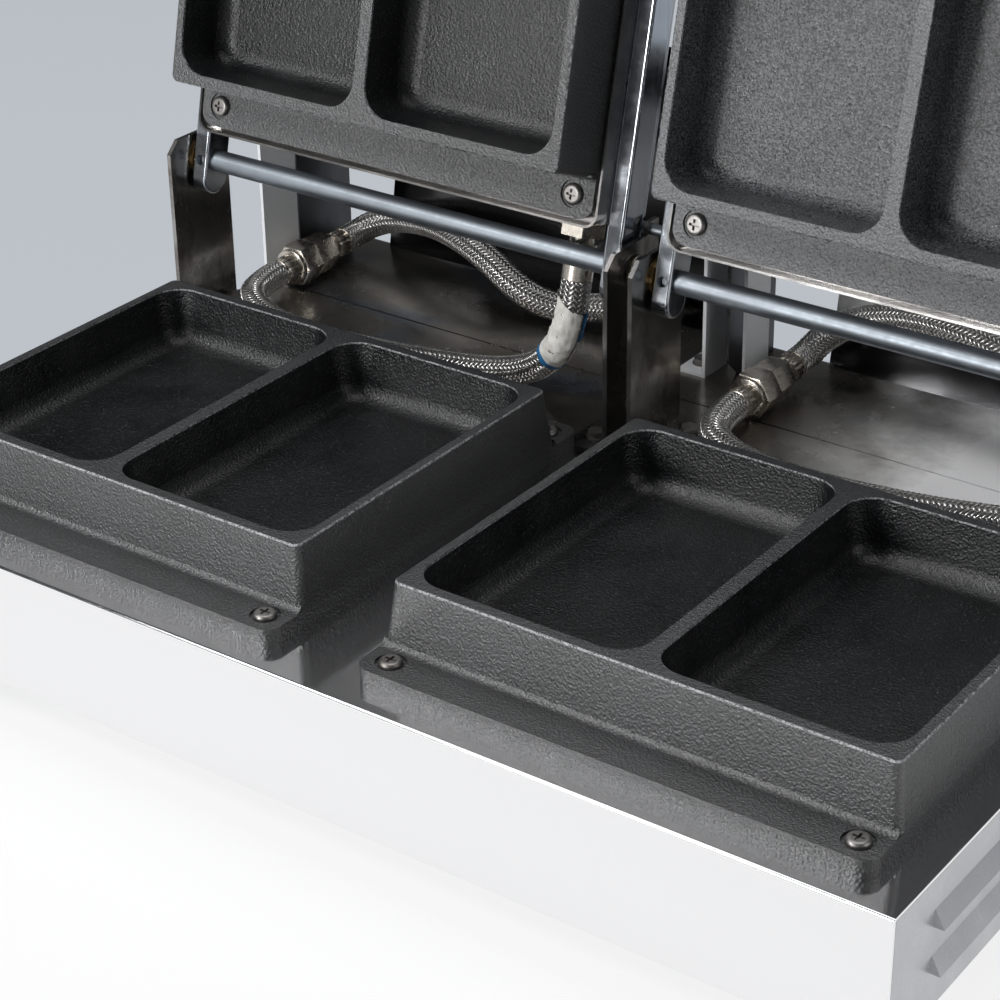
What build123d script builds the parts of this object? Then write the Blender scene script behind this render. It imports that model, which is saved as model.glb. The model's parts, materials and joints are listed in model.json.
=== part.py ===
from build123d import *
import math
import os

# A two-headed gas press for filled toast: two cast moulds on a steel body, and over
# each a hinged lid with the same mould upside down and its own burner.
# Millimetres. X runs along the front, Y from the front to the back, Z up.
# The origin is on the table, under the middle of the part's footprint.

# Body
foot_height = 25.0
foot_diameter = 38.0
foot_inset_x = 75.0
foot_inset_y = 62.0
foot_taper = 4.0
foot_rounding = 2.0
foot_stud_reach = 8.0
body_height = 68.5
body_width = 598.0
deck_depth = 417.5
front_deck_depth = 335.0
deck_seam = 1.2
sheet = 1.5
cut_past = 6.0
fold_radius = 1.2
panel_return = 14.0
panel_gap = 0.2
louvre_front = 36.0
louvre_length = 118.0
louvre_height = 9.0
louvre_depth = 4.5
louvre_skin = 1.2
louvre_drops = (17.0, 40.0)
air_slot_length = 34.0
air_slot_width = 5.0
air_slot_pitch = 60.0
air_slot_columns = 9
air_slot_drops = (16.0, 28.0)

# Moulds: the lower and the upper ones are the same casting
mould_width = 250.0
mould_depth = 195.0
mould_height = 40.0
mould_gap = 54.0
mould_to_front = 41.5
flange_thickness = 8.2
flange_reach = 25.6
flange_corner = 8.0
wall_draft = 3.5
wall_corner = 4.0
rim_side = 4.8
rim_end = 6.0
divider = 7.0
cavity_depth = 30.0
cavity_corner = 16.0
cavity_taper = 8.0
cavity_fillet = 10.0
rim_rounding = 1.2
flange_fillet = 3.5
recess_inset = 12.0
recess_depth = 3.5

# Mould screws, M6 pan heads in shallow seats
screw_inset_x = 9.0
screw_reach = 14.0
screw_diameter = 6.0
screw_head = 11.0
screw_head_height = 3.0
screw_head_rounding = 1.8
screw_cross_length = 5.5
screw_cross_width = 1.3
screw_cross_depth = 1.6
screw_hole = 6.6
screw_seat = 14.5
screw_seat_depth = 1.2
screw_length = 15.0

# Lid hinge
open_angle = 103.4
hinge_behind_mould = 48.5
hinge_height = 92.5
closed_gap = 0.8
rod_diameter = 12.0
running_fit = 0.05
bush_outer = 16.0
bush_flange = 20.0
bush_flange_thickness = 1.6
bush_gap = 0.1
rod_chamfer = 0.8
cross_pin = 5.0
cross_hole = 5.6
cross_pin_length = 11.0
cross_pin_chamfer = 0.5

# Lid pan, cover and arms
pan_clearance = 3.0
pan_end_clearance = 4.0
pan_lip = 7.6
pan_sheet = 1.2
cover_depth = 39.5
cover_end_step = 1.6
cover_rounding = 3.0
vent_length = 66.0
vent_width = 5.0
vent_pitch = 24.0
vent_count = 7
port_diameter = 14.0
port_from_end = 24.0
arm_width = 10.0
arm_depth = 18.0
arm_tail = 19.0
arm_rounding = 1.5
handle_reach = 335.5
handle_end_margin = 2.0
handle_bar = 12.0
handle_bar_past_arm = 1.5
handle_bar_chamfer = 1.0
handle_grip = 28.0
grip_gap = 6.0
grip_rounding = 6.0
grip_collar = 18.0

# Hinge brackets and stops
bracket_gap = 12.0
bracket_plate = 2.5
bracket_front = 25.0
bracket_length = 45.5
bracket_top = 107.5
bracket_chamfer = 7.0
bracket_foot = 20.0
foot_behind_flange = 1.0
outer_foot = 15.0
bolt_diameter = 5.0
bolt_clearance = 0.3
washer_thickness = 0.8
washer_over_flats = 1.24
bolt_head_flats = 8.0
bolt_head_height = 3.5
bolt_length = 12.0
bolt_from_ends = 6.0
stop_diameter = 6.0
stop_up_arm = 20.0
stop_gap = 0.3
stop_ear = 5.0
ear_chamfer = 2.0
stop_fit = 0.1
pin_past_plate = 0.5
stop_end_gap = 1.5

# Anti-rattle spring between the two hinge rods
spring_wire = 1.6
spring_outer = 17.0
spring_turns = 4
spring_seat_gap = 0.3
rod_end_gap = 3.0

# Rear frame and heat guards
post_front = 367.5
post_height = 150.0
post_sheet = 2.0
post_foot_chamfer = 12.0
post_top_chamfer = 20.0
rail_height = 22.0
rail_depth = 12.0
guard_sheet = 1.5
guard_half_width = 116.0
guard_gap = 0.5
spacer_width = 12.0
spacer_inset = 20.0
guard_height = 150.0
guard_lean = 10.0
angle_sheet = 2.0
angle_height = 92.0
angle_strip = 24.0
angle_outer_strip = 30.0
angle_tab = 15.0
angle_beside_post = 12.5
angle_front = 364.0
angle_outer_front = 336.0

# Gas train
fitting_offset_x = 103.0
fitting_offset = 15.5
nut_flats = 22.0
nut_length = 12.5
neck_diameter = 13.0
neck_length = 4.5
sleeve_diameter = 16.6
sleeve_length = 19.0
hose_diameter = 15.5
hose_straight = 12.0
lid_hose_straight = 14.0
union_height = 13.0
union_front = 321.5
union_sleeve = 11.0
union_ring = 2.5
union_ring_diameter = 21.0
union_nut = 14.0
union_body = 17.0
union_body_flats = 20.0
elbow_rise = 14.0
elbow_size = 16.0
elbow_socket = 14.0
elbow_stub = 10.0
elbow_rounding = 2.5
elbow_nut_height = 4.0
elbow_nut_flats = 17.6
elbow_below = 12.0
lid_tube = 14.0
lower_tube = 20.0
tube_wall = 1.6
burner_half_pitch = 58.0
burner_slot = 1.6
burner_slot_margin = 10.0
cross_tube_share = 0.94
inlet_tube_share = 0.9
lower_burner_drop = 35.0
burner_front = 6.0
burner_rear = 10.0
post_size = 9.0
post_thickness = 4.0
post_tab = 2.0
lower_post_width = 12.0
post_from_front = 3.0
orifice_gap = 3.0
valve_body = 18.0
valve_length = 34.0
valve_neck = 12.0
valve_nose = 6.0
valve_nose_diameter = 12.0
valve_spacing = 80.0
manifold_pipe = 16.0
manifold_drop = 54.0
manifold_inset = 34.0
manifold_rear_gap = 24.0
supply_pipe = 8.0
supply_bend = 9.0
supply_first_leg = 30.0
inlet_reach = 31.0
inlet_hex = 30.0
inlet_hex_length = 10.0
inlet_thread = 20.955
inlet_bore = 12.0
stem_diameter = 8.0
stem_hole = 9.0
knob_diameter = 38.0
knob_length = 18.0
knob_skirt = 4.0
knob_gap = 1.0
knob_grip_width = 12.0
knob_bar_inset = 3.0
knob_grip_inset = 4.0
stem_in_valve = 2.0

# Hose centre lines, from the middle of their lid across, from the front edge back and
# from the deck up
left_lid_hose_route = (
    (101.0, 289.5, 42.0), (80.0, 298.0, 17.0), (56.0, 294.0, 8.6), (22.0, 283.5, 8.2),
    (-18.0, 275.5, 8.2), (-58.0, 272.5, 8.2), (-94.0, 275.0, 9.2), (-118.0, 289.0, 11.6),
)
right_lid_hose_route = (
    (101.5, 290.0, 42.0), (82.0, 298.5, 17.0), (58.0, 296.5, 8.6), (26.0, 286.0, 8.2),
    (-14.0, 277.5, 8.2), (-52.0, 273.5, 8.2), (-90.0, 276.5, 9.2), (-114.0, 288.5, 11.2),
)
left_feed_hose_route = (
    (-117.0, 401.0, 19.0), (-98.0, 404.0, 26.0), (-62.0, 397.0, 32.0),
    (-22.0, 384.0, 28.0), (12.0, 374.0, 15.0), (38.0, 378.0, 9.0),
)
right_feed_hose_route = (
    (-112.0, 400.0, 24.0), (-94.0, 402.0, 38.0), (-60.0, 396.0, 51.0),
    (-18.0, 386.0, 55.0), (20.0, 378.0, 46.0), (42.0, 379.0, 24.0),
)
union_offset = {"left": -124.0, "right": -119.0}
feed_end_x = 74.0
feed_end_y = 387.5
feed_last_run = 15.0

# Worked-out places
deck_top = foot_height + body_height
depth = deck_depth + sheet + inlet_reach
front = -depth / 2
rear = front + deck_depth
half_width = body_width / 2
lid_centre = (mould_width + mould_gap) / 2
mould_front = front + mould_to_front
mould_rear = mould_front + mould_depth
hinge_y = mould_rear + hinge_behind_mould
hinge_z = deck_top + hinge_height
hinge_axis = Axis((0, hinge_y, hinge_z), (1, 0, 0))
pan_half = mould_width / 2 + wall_draft + pan_clearance
arm_inner = pan_half
arm_outer = arm_inner + arm_width
plate_inner = lid_centre - bracket_gap / 2 - bracket_plate
rim_closed = deck_top + mould_height + closed_gap
flange_back = rim_closed + mould_height
pan_top = flange_back + pan_sheet
cover_top = pan_top + cover_depth
pan_front = mould_front - flange_reach - pan_end_clearance
pan_rear = mould_rear + flange_reach + pan_end_clearance
cover_front = pan_front + cover_end_step
cover_rear = pan_rear - cover_end_step
burner_z = hinge_z + fitting_offset
valve_z = deck_top - lower_burner_drop
manifold_z = deck_top - manifold_drop
valve_y = (mould_rear - burner_rear, mould_rear - burner_rear + valve_spacing)
sides = {"left": -1, "right": 1}


def block(x0, x1, y0, y1, z0, z1):
    size = (x1 - x0, y1 - y0, z1 - z0)
    return Pos((x0 + x1) / 2, (y0 + y1) / 2, (z0 + z1) / 2) * Box(*size)


def rod_x(radius, x0, x1, y, z):
    return Pos((x0 + x1) / 2, y, z) * Rot(0, 90, 0) * Cylinder(radius, abs(x1 - x0))


def rod_y(radius, x, y0, y1, z):
    return Pos(x, (y0 + y1) / 2, z) * Rot(90, 0, 0) * Cylinder(radius, abs(y1 - y0))


def rod_z(radius, x, y, z0, z1):
    return Pos(x, y, (z0 + z1) / 2) * Cylinder(radius, abs(z1 - z0))


def hole_z(radius, x, y, z):
    # A cutter for a hole through a sheet whose surface is near z.
    return rod_z(radius, x, y, z - cut_past, z + cut_past)


def hexagon_y(flats, x, y0, y1, z):
    outline = RegularPolygon(flats / math.sqrt(3), 6)
    bar = extrude(outline, y1 - y0)
    return Pos(x, y1, z) * Rot(90, 0, 0) * bar


def hexagon_z(flats, x, y, z0, z1):
    return Pos(x, y, z0) * extrude(RegularPolygon(flats / math.sqrt(3), 6), z1 - z0)


def profile_yz(points, x0, x1):
    face = make_face(Polyline(*[(x0, y, z) for y, z in points], close=True))
    return extrude(face, x1 - x0, dir=(1, 0, 0))


def open_lid(shape):
    return shape.rotate(hinge_axis, -open_angle)


def save(shape, name):
    shape.label = name
    export_step(shape, f"parts/{name}.step")


def group(solids):
    return Compound(children=list(solids))


# Castings
def cavity():
    width = (mould_width - 2 * rim_side - divider) / 2
    length = mould_depth - 2 * rim_end
    mouth = RectangleRounded(width, length, cavity_corner)
    pocket = extrude(mouth, -cavity_depth, taper=cavity_taper)
    floor_edges = pocket.faces().sort_by(Axis.Z)[0].edges()
    pocket = fillet(floor_edges, cavity_fillet)
    lead_in = extrude(mouth, 1)
    return pocket + lead_in


def screw_places():
    x = mould_width / 2 - screw_inset_x
    for side in (-1, 1):
        for y in (-screw_reach, mould_depth + screw_reach):
            yield side * x, y


def casting():
    # Lies on its flange, mould front edge at y 0, cavities up.
    wide = mould_width + 2 * wall_draft
    deep = mould_depth + 2 * flange_reach
    plate = extrude(RectangleRounded(wide, deep, flange_corner), flange_thickness)
    foot_outline = RectangleRounded(wide, mould_depth + 2 * wall_draft, wall_corner)
    top_outline = RectangleRounded(mould_width, mould_depth, wall_corner)
    rise = mould_height - flange_thickness
    walls = loft([foot_outline, Pos(0, 0, rise) * top_outline])
    body = plate + Pos(0, 0, flange_thickness) * walls
    body = fillet(body.faces().sort_by(Axis.Z)[-1].edges(), rim_rounding)
    lean_in = wall_draft * flange_fillet / rise
    wall_y = mould_depth / 2 + wall_draft - lean_in
    for end in (-1, 1):
        near = end * (wall_y - 1)
        far = end * (wall_y + flange_fillet)
        root = block(-wide / 2 + lean_in, wide / 2 - lean_in, *sorted((near, far)),
                     flange_thickness, flange_thickness + flange_fillet)
        root -= rod_x(flange_fillet, -wide, wide, far, flange_thickness + flange_fillet)
        body += root
    width = (mould_width - 2 * rim_side - divider) / 2
    for side in (-1, 1):
        body -= Pos(side * (width + divider) / 2, 0, mould_height) * cavity()
    underside = RectangleRounded(mould_width - 2 * recess_inset,
                                 mould_depth - 2 * recess_inset, cavity_corner)
    body -= extrude(underside, recess_depth)
    body = Pos(0, mould_depth / 2, 0) * body
    for x, y in screw_places():
        body -= rod_z(screw_hole / 2, x, y, -1, flange_thickness + 1)
        seat_floor = flange_thickness - screw_seat_depth
        body -= rod_z(screw_seat / 2, x, y, seat_floor, flange_thickness + 1)
    return body


def pan_screw():
    # Stands on its seat at z 0, head up, cross recess in the head.
    head = Cylinder(screw_head / 2, screw_head_height, align=(Align.CENTER, Align.CENTER, Align.MIN))
    head = fillet(head.edges().sort_by(Axis.Z)[-1], screw_head_rounding)
    for turn in (0, 90):
        slot = Box(screw_cross_length, screw_cross_width, screw_cross_depth,
                   align=(Align.CENTER, Align.CENTER, Align.MAX))
        head -= Pos(0, 0, screw_head_height) * Rot(0, 0, turn) * slot
    return head + rod_z(screw_diameter / 2, 0, 0, -screw_length, 0.5)


def screws():
    seat = flange_thickness - screw_seat_depth
    return [Pos(x, y, seat) * pan_screw() for x, y in screw_places()]


def on_deck(shape, side):
    return Pos(side * lid_centre, mould_front, deck_top) * shape


def upside_down(shape, side):
    # Turned over about X, so the flange's back is up and the front edge stays in front.
    turned = Pos(0, mould_depth, 0) * Rot(180, 0, 0) * shape
    return Pos(side * lid_centre, mould_front, flange_back) * turned


# Body shell
def front_deck():
    end = front + front_deck_depth - deck_seam / 2
    top = block(-half_width, half_width, front, end, deck_top - sheet, deck_top)
    apron = block(-half_width, half_width, front, front + sheet, foot_height, deck_top)
    lip = block(-half_width, half_width, front, front + panel_return,
                foot_height, foot_height + sheet)
    shell = top + apron + lip
    bend = [
        edge for edge in shell.edges().filter_by(Axis.X)
        if abs(edge.center().Y - front) < 0.01
    ]
    shell = fillet(bend, fold_radius)
    for side in sides.values():
        under = RectangleRounded(mould_width - 2 * recess_inset,
                                 mould_depth - 2 * recess_inset, cavity_corner)
        hole = Pos(0, mould_depth / 2, -5) * extrude(under, 10)
        shell -= on_deck(hole, side)
        for x, y in screw_places():
            shell -= on_deck(rod_z(screw_hole / 2, x, y, -5, 5), side)
    for x, y in bracket_bolt_places():
        shell -= hole_z(bolt_diameter / 2 + bolt_clearance, x, y, deck_top)
    return shell


def rear_deck():
    begin = front + front_deck_depth + deck_seam / 2
    top = block(-half_width, half_width, begin, rear, deck_top - sheet, deck_top)
    inside = half_width - panel_return - 1
    lip = block(-inside, inside, begin, begin + sheet, deck_top - panel_return, deck_top)
    shell = top + lip
    for side in sides.values():
        x = side * lid_centre + feed_end_x + elbow_socket
        shell -= hole_z(elbow_stub / 2 + bolt_clearance, x, front + feed_end_y, deck_top)
    for x, y in angle_tabs():
        shell -= hole_z(bolt_diameter / 2 + bolt_clearance, x, y, deck_top)
    return shell


def louvre(side, z_top):
    # A pressed hood, open along its lower edge.
    face = side * half_width
    out = side * louvre_depth
    outer = [(face - side * sheet, z_top), (face, z_top), (face + out, z_top - louvre_height),
             (face - side * sheet, z_top - louvre_height)]
    skin = louvre_skin
    inner = [(face - side * 2 * sheet, z_top - skin), (face - side * skin / 2, z_top - 2 * skin),
             (face + out - side * skin, z_top - louvre_height - skin),
             (face - side * 2 * sheet, z_top - louvre_height - skin)]
    y0 = front + louvre_front
    y1 = y0 + louvre_length
    solids = []
    for points, ya, yb in ((outer, y0, y1), (inner, y0 + skin, y1 - skin)):
        ring = make_face(Polyline(*[(x, ya, z) for x, z in points], close=True))
        solids.append(extrude(ring, yb - ya, dir=(0, 1, 0)))
    return solids


def side_panel(side):
    low = foot_height + sheet + panel_gap
    high = deck_top - sheet - panel_gap
    face = side * half_width
    y0 = front + sheet + panel_gap
    y1 = rear - panel_gap
    plate = block(*sorted((face - side * sheet, face)), y0, y1, low, high)
    for z0, z1 in ((low, low + sheet), (high - sheet, high)):
        plate += block(*sorted((face - side * panel_return, face)), y0, y1, z0, z1)
    for drop in louvre_drops:
        outer, inner = louvre(side, deck_top - drop)
        plate = plate + outer - inner
    for y in valve_y:
        plate -= rod_x(stem_hole / 2, face - side * cut_past, face + side * cut_past, y, valve_z)
    for x, y in [*bracket_bolt_places(), *angle_tabs()]:
        plate -= hole_z(bolt_diameter / 2 + bolt_clearance, x, y, high)
    return plate


def rear_panel():
    plate = block(-half_width, half_width, rear, rear + sheet, foot_height, deck_top)
    plate -= rod_y(inlet_thread / 2 + bolt_clearance, 0, rear - cut_past, rear + cut_past, manifold_z)
    slot = extrude(SlotOverall(air_slot_length, air_slot_width), cut_past, both=True)
    for column in range(air_slot_columns):
        x = (column - (air_slot_columns - 1) / 2) * air_slot_pitch
        for drop in air_slot_drops:
            plate -= Pos(x, rear, deck_top - drop) * Rot(90, 0, 0) * slot
    return plate


def bottom_panel():
    inset = half_width - panel_gap
    y0 = front + sheet + panel_gap
    y1 = rear - panel_gap
    plate = block(-inset, inset, y0 + panel_return, y1, foot_height, foot_height + sheet)
    for x, y in foot_places():
        plate -= hole_z(bolt_diameter / 2, x, y, foot_height)
    return plate


def foot_places():
    for x in (-half_width + foot_inset_x, half_width - foot_inset_x):
        for y in (front + foot_inset_y, rear - foot_inset_y):
            yield x, y


def foot(x, y):
    outline = Pos(x, y, 0) * extrude(Circle(foot_diameter / 2), foot_height, taper=foot_taper)
    outline = fillet(outline.edges().sort_by(Axis.Z)[0], foot_rounding)
    stud = rod_z(bolt_diameter / 2 - stop_fit, x, y, foot_height - 1, foot_height + foot_stud_reach)
    return outline + stud


# Hinge brackets
def bracket_outline():
    y0 = hinge_y - bracket_front
    y1 = y0 + bracket_length
    top = deck_top + bracket_top
    stop_y, stop_z = stop_centre()
    ear_top = stop_z + stop_ear
    return [
        (y0, deck_top), (y0, top - bracket_chamfer), (y0 + bracket_chamfer, top),
        (stop_y - stop_ear, top), (stop_y - stop_ear, ear_top - ear_chamfer),
        (stop_y - stop_ear + ear_chamfer, ear_top),
        (max(y1, stop_y + stop_ear), ear_top), (max(y1, stop_y + stop_ear), deck_top),
    ]


def stop_centre():
    lean = math.radians(open_angle - 90)
    out = arm_depth / 2 + stop_diameter / 2 + stop_gap
    y = hinge_y + stop_up_arm * math.sin(lean) + out * math.cos(lean)
    z = hinge_z + stop_up_arm * math.cos(lean) - out * math.sin(lean)
    return y, z


def bracket_plate_at(x0, x1):
    stop_y, stop_z = stop_centre()
    plate = profile_yz(bracket_outline(), x0, x1)
    plate -= rod_x(bush_outer / 2 + bush_gap, x0 - 1, x1 + 1, hinge_y, hinge_z)
    plate -= rod_x(stop_diameter / 2 + stop_fit, x0 - 1, x1 + 1, stop_y, stop_z)
    return plate


def bracket_rear():
    return max(y for y, z in bracket_outline())


def foot_front():
    return mould_rear + flange_reach + foot_behind_flange


def bracket_bolt_places():
    for x in (-1, 1):
        inner_x = x * (bracket_gap / 2 + bracket_plate + bracket_foot / 2)
        outer_x = x * (lid_centre + plate_inner - outer_foot / 2)
        for y in (foot_front() + bolt_from_ends, bracket_rear() - bolt_from_ends):
            yield inner_x, y
            yield outer_x, y


def with_bolt_holes(shape, places):
    for x, y in places:
        shape -= hole_z(bolt_diameter / 2 + bolt_clearance, x, y, deck_top)
    return shape


def middle_bracket():
    reach = bracket_gap / 2 + bracket_plate + bracket_foot
    body = block(-reach, reach, foot_front(), bracket_rear(), deck_top, deck_top + bracket_plate)
    for x in (-1, 1):
        near = x * bracket_gap / 2
        far = x * (bracket_gap / 2 + bracket_plate)
        body += bracket_plate_at(*sorted((near, far)))
    return with_bolt_holes(body, bracket_bolt_places())


def outer_bracket(side):
    near = side * (lid_centre + plate_inner)
    far = side * (lid_centre + plate_inner + bracket_plate)
    foot_edge = side * (lid_centre + plate_inner - outer_foot)
    body = bracket_plate_at(*sorted((near, far)))
    body += block(*sorted((foot_edge, far)), foot_front(), bracket_rear(),
                  deck_top, deck_top + bracket_plate)
    return with_bolt_holes(body, bracket_bolt_places())


def bolt(x, y, seat):
    head = hexagon_z(bolt_head_flats, x, y, seat, seat + bolt_head_height)
    washer = rod_z(bolt_head_flats * washer_over_flats / 2, x, y, seat, seat + washer_thickness)
    return head + washer + rod_z(bolt_diameter / 2, x, y, seat - bolt_length, seat + 0.5)


def bush(x, side):
    # Flange against the arm, barrel in the bracket plate.
    seat = x - side * bush_gap
    flange_at = seat - side * bush_flange_thickness
    body = rod_x(bush_outer / 2, seat, x + side * bracket_plate, hinge_y, hinge_z)
    body += rod_x(bush_flange / 2, flange_at, seat, hinge_y, hinge_z)
    bore = rod_x(rod_diameter / 2 + running_fit, x - cut_past, x + cut_past, hinge_y, hinge_z)
    return body - bore


def bushes():
    for centre in (-lid_centre, lid_centre):
        for side in (-1, 1):
            yield bush(centre + side * plate_inner, side)


def stop_pins():
    y, z = stop_centre()
    radius = stop_diameter / 2
    reach = lid_centre - arm_inner - stop_end_gap
    yield rod_x(radius, -reach, reach, y, z)
    for side in (-1, 1):
        inner = side * (lid_centre + arm_inner + stop_end_gap)
        outer = side * (lid_centre + plate_inner + bracket_plate + pin_past_plate)
        yield rod_x(radius, inner, outer, y, z)


def helix_point(turn, radius, pitch, start):
    angle = 2 * math.pi * turn
    return Vector(start + pitch * turn, hinge_y + radius * math.cos(angle),
                  hinge_z + radius * math.sin(angle))


def helix_heading(turn, radius, pitch):
    angle = 2 * math.pi * turn
    around = 2 * math.pi * radius
    return Vector(pitch, -around * math.sin(angle), around * math.cos(angle)).normalized()


def biarc(p0, t0, p1, t1):
    # Two arcs that leave p0 along t0, reach p1 along t1 and meet on one tangent.
    step = p1 - p0
    both = t0 + t1
    a = 2 * t0.dot(t1) - 2
    b = -2 * step.dot(both)
    c = step.dot(step)
    d = (-b - math.sqrt(b * b - 4 * a * c)) / (2 * a)
    c0 = p0 + t0 * d
    c1 = p1 - t1 * d
    joint = (c0 + c1) * 0.5
    return [TangentArc(p0, joint, tangent=t0), TangentArc(joint, p1, tangent=(c1 - c0).normalized())]


def thrust_spring():
    radius = (spring_outer - spring_wire) / 2
    length = bracket_gap - 2 * spring_seat_gap - spring_wire
    pitch = length / spring_turns
    arcs = []
    for i in range(4 * spring_turns):
        a, b = i / 4, (i + 1) / 4
        arcs += biarc(helix_point(a, radius, pitch, -length / 2), helix_heading(a, radius, pitch),
                      helix_point(b, radius, pitch, -length / 2), helix_heading(b, radius, pitch))
    path = Wire([edge for arc in arcs for edge in arc.edges()])
    section = Plane(origin=path @ 0, z_dir=path % 0) * Circle(spring_wire / 2)
    steps = 100 * spring_turns
    samples = [path.position_at(i / steps) for i in range(steps + 1)]
    half_turn = steps // spring_turns // 2
    gap = min(
        (a - b).length for i, a in enumerate(samples) for b in samples[i + half_turn:]
    ) - spring_wire
    print("thrust spring: least gap between turns", round(gap, 2))
    return sweep(section, path=path)


# Lid
def pan(side):
    x = side * lid_centre
    outer = block(x - pan_half, x + pan_half, pan_front, pan_rear, flange_back - pan_lip, pan_top)
    outer = fillet(outer.edges().filter_by(Axis.Z), flange_corner)
    inner = block(x - pan_half + pan_sheet, x + pan_half - pan_sheet,
                  pan_front + pan_sheet, pan_rear - pan_sheet,
                  flange_back - pan_lip - 1, flange_back)
    inner = fillet(inner.edges().filter_by(Axis.Z), flange_corner - pan_sheet)
    shell = outer - inner
    flame = RectangleRounded(mould_width - 2 * recess_inset, mould_depth - 2 * recess_inset,
                             cavity_corner)
    shell -= Pos(x, mould_front + mould_depth / 2, flange_back - 1) * extrude(flame, pan_sheet + 2)
    for sx, sy in screw_places():
        shell -= rod_z(screw_hole / 2, x + sx, mould_front + sy, flange_back - 1, pan_top + 1)
    return shell


def cover(side):
    x = side * lid_centre
    outer = block(x - pan_half, x + pan_half, cover_front, cover_rear, pan_top, cover_top)
    soft = outer.edges().filter_by(Axis.Z) + outer.faces().sort_by(Axis.Z)[-1].edges()
    outer = fillet(soft, cover_rounding)
    inner = block(x - pan_half + pan_sheet, x + pan_half - pan_sheet,
                  cover_front + pan_sheet, cover_rear - pan_sheet,
                  pan_top - 1, cover_top - pan_sheet)
    soft = inner.edges().filter_by(Axis.Z) + inner.faces().sort_by(Axis.Z)[-1].edges()
    inner = fillet(soft, cover_rounding - pan_sheet)
    shell = outer - inner
    middle = mould_front + mould_depth / 2
    for i in range(vent_count):
        y = middle + (i - (vent_count - 1) / 2) * vent_pitch
        for column in (-1, 1):
            slot = extrude(SlotOverall(vent_length, vent_width), cut_past, both=True)
            shell -= Pos(x + column * burner_half_pitch, y, cover_top) * slot
    port_y = cover_rear - port_from_end
    port_z = pan_top + cover_depth / 2
    shell -= rod_x(port_diameter / 2, x - pan_half - cut_past, x + pan_half + cut_past, port_y, port_z)
    fitting_x = x + fitting_offset_x
    shell -= rod_y(neck_diameter / 2 + bolt_clearance, fitting_x, cover_rear - cut_past,
                   cover_rear + cut_past, burner_z)
    return shell


def arm(side, end):
    x = side * lid_centre + end * (arm_inner + arm_width / 2)
    tail = hinge_y + arm_tail
    tip = hinge_y - handle_reach - arm_depth / 2 - handle_end_margin
    bar = Pos(0, 0, -arm_width / 2) * extrude(SlotOverall(tail - tip, arm_depth), arm_width)
    ends = bar.faces().sort_by(Axis.Z)
    bar = fillet(ends[0].edges() + ends[-1].edges(), arm_rounding)
    bar = Pos(x, (tail + tip) / 2, hinge_z) * Rot(0, 90, 0) * Rot(0, 0, 90) * bar
    for y, bore in ((hinge_y, rod_diameter), (hinge_y - handle_reach, handle_bar)):
        bar -= rod_x(bore / 2 + running_fit, x - arm_width, x + arm_width, y, hinge_z)
    bar -= rod_z(cross_hole / 2, x, hinge_y, hinge_z - arm_depth, hinge_z + arm_depth)
    return bar


def hinge_rod(side):
    inner = side * rod_end_gap / 2
    outer = side * (lid_centre + plate_inner + bracket_plate + pin_past_plate)
    rod = rod_x(rod_diameter / 2, inner, outer, hinge_y, hinge_z)
    rod = chamfer(rod.edges().filter_by(GeomType.CIRCLE), rod_chamfer)
    for end in (-1, 1):
        x = side * lid_centre + end * (arm_inner + arm_width / 2)
        rod -= rod_z(cross_pin / 2 + running_fit, x, hinge_y,
                     hinge_z - rod_diameter, hinge_z + rod_diameter)
    return rod


def cross_pins(side):
    for end in (-1, 1):
        x = side * lid_centre + end * (arm_inner + arm_width / 2)
        half = cross_pin_length / 2
        pin = rod_z(cross_pin / 2, x, hinge_y, hinge_z - half, hinge_z + half)
        yield chamfer(pin.edges().filter_by(GeomType.CIRCLE), cross_pin_chamfer)


def handle_rod(side):
    x = side * lid_centre
    y = hinge_y - handle_reach
    reach = arm_outer + handle_bar_past_arm
    bar = rod_x(handle_bar / 2, x - reach, x + reach, y, hinge_z)
    return chamfer(bar.edges().filter_by(GeomType.CIRCLE), handle_bar_chamfer)


def handle_sleeve(side):
    x = side * lid_centre
    y = hinge_y - handle_reach
    half = arm_inner - grip_gap
    grip = rod_x(handle_grip / 2, x - half, x + half, y, hinge_z)
    grip = fillet(grip.edges().filter_by(GeomType.CIRCLE), grip_rounding)
    for end in (-1, 1):
        collar_end = x + end * (arm_inner - panel_gap)
        grip += rod_x(grip_collar / 2, x + end * (half - 1), collar_end, y, hinge_z)
    return grip - rod_x(handle_bar / 2 + running_fit, x - arm_inner, x + arm_inner, y, hinge_z)


# Burners: two slotted tubes under the cavities, and a cross tube that feeds them
def burner(tube, z, slot_down):
    y0 = mould_front + burner_front
    y1 = mould_rear - burner_rear
    radius = tube / 2
    solid = rod_x(radius * cross_tube_share, -burner_half_pitch, burner_half_pitch, y1, z)
    bore = rod_x(radius * cross_tube_share - tube_wall, -burner_half_pitch, burner_half_pitch, y1, z)
    for side in (-1, 1):
        x = side * burner_half_pitch
        solid += rod_y(radius, x, y0, y1 + radius, z)
        bore += rod_y(radius - tube_wall, x, y0 + tube_wall, y1 + radius - tube_wall, z)
        edge = z - radius if slot_down else z + radius
        bore += block(x - burner_slot / 2, x + burner_slot / 2, y0 + burner_slot_margin,
                      y1 - burner_slot_margin, edge - tube_wall * 1.5, edge + tube_wall * 1.5)
    return solid, bore


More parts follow.
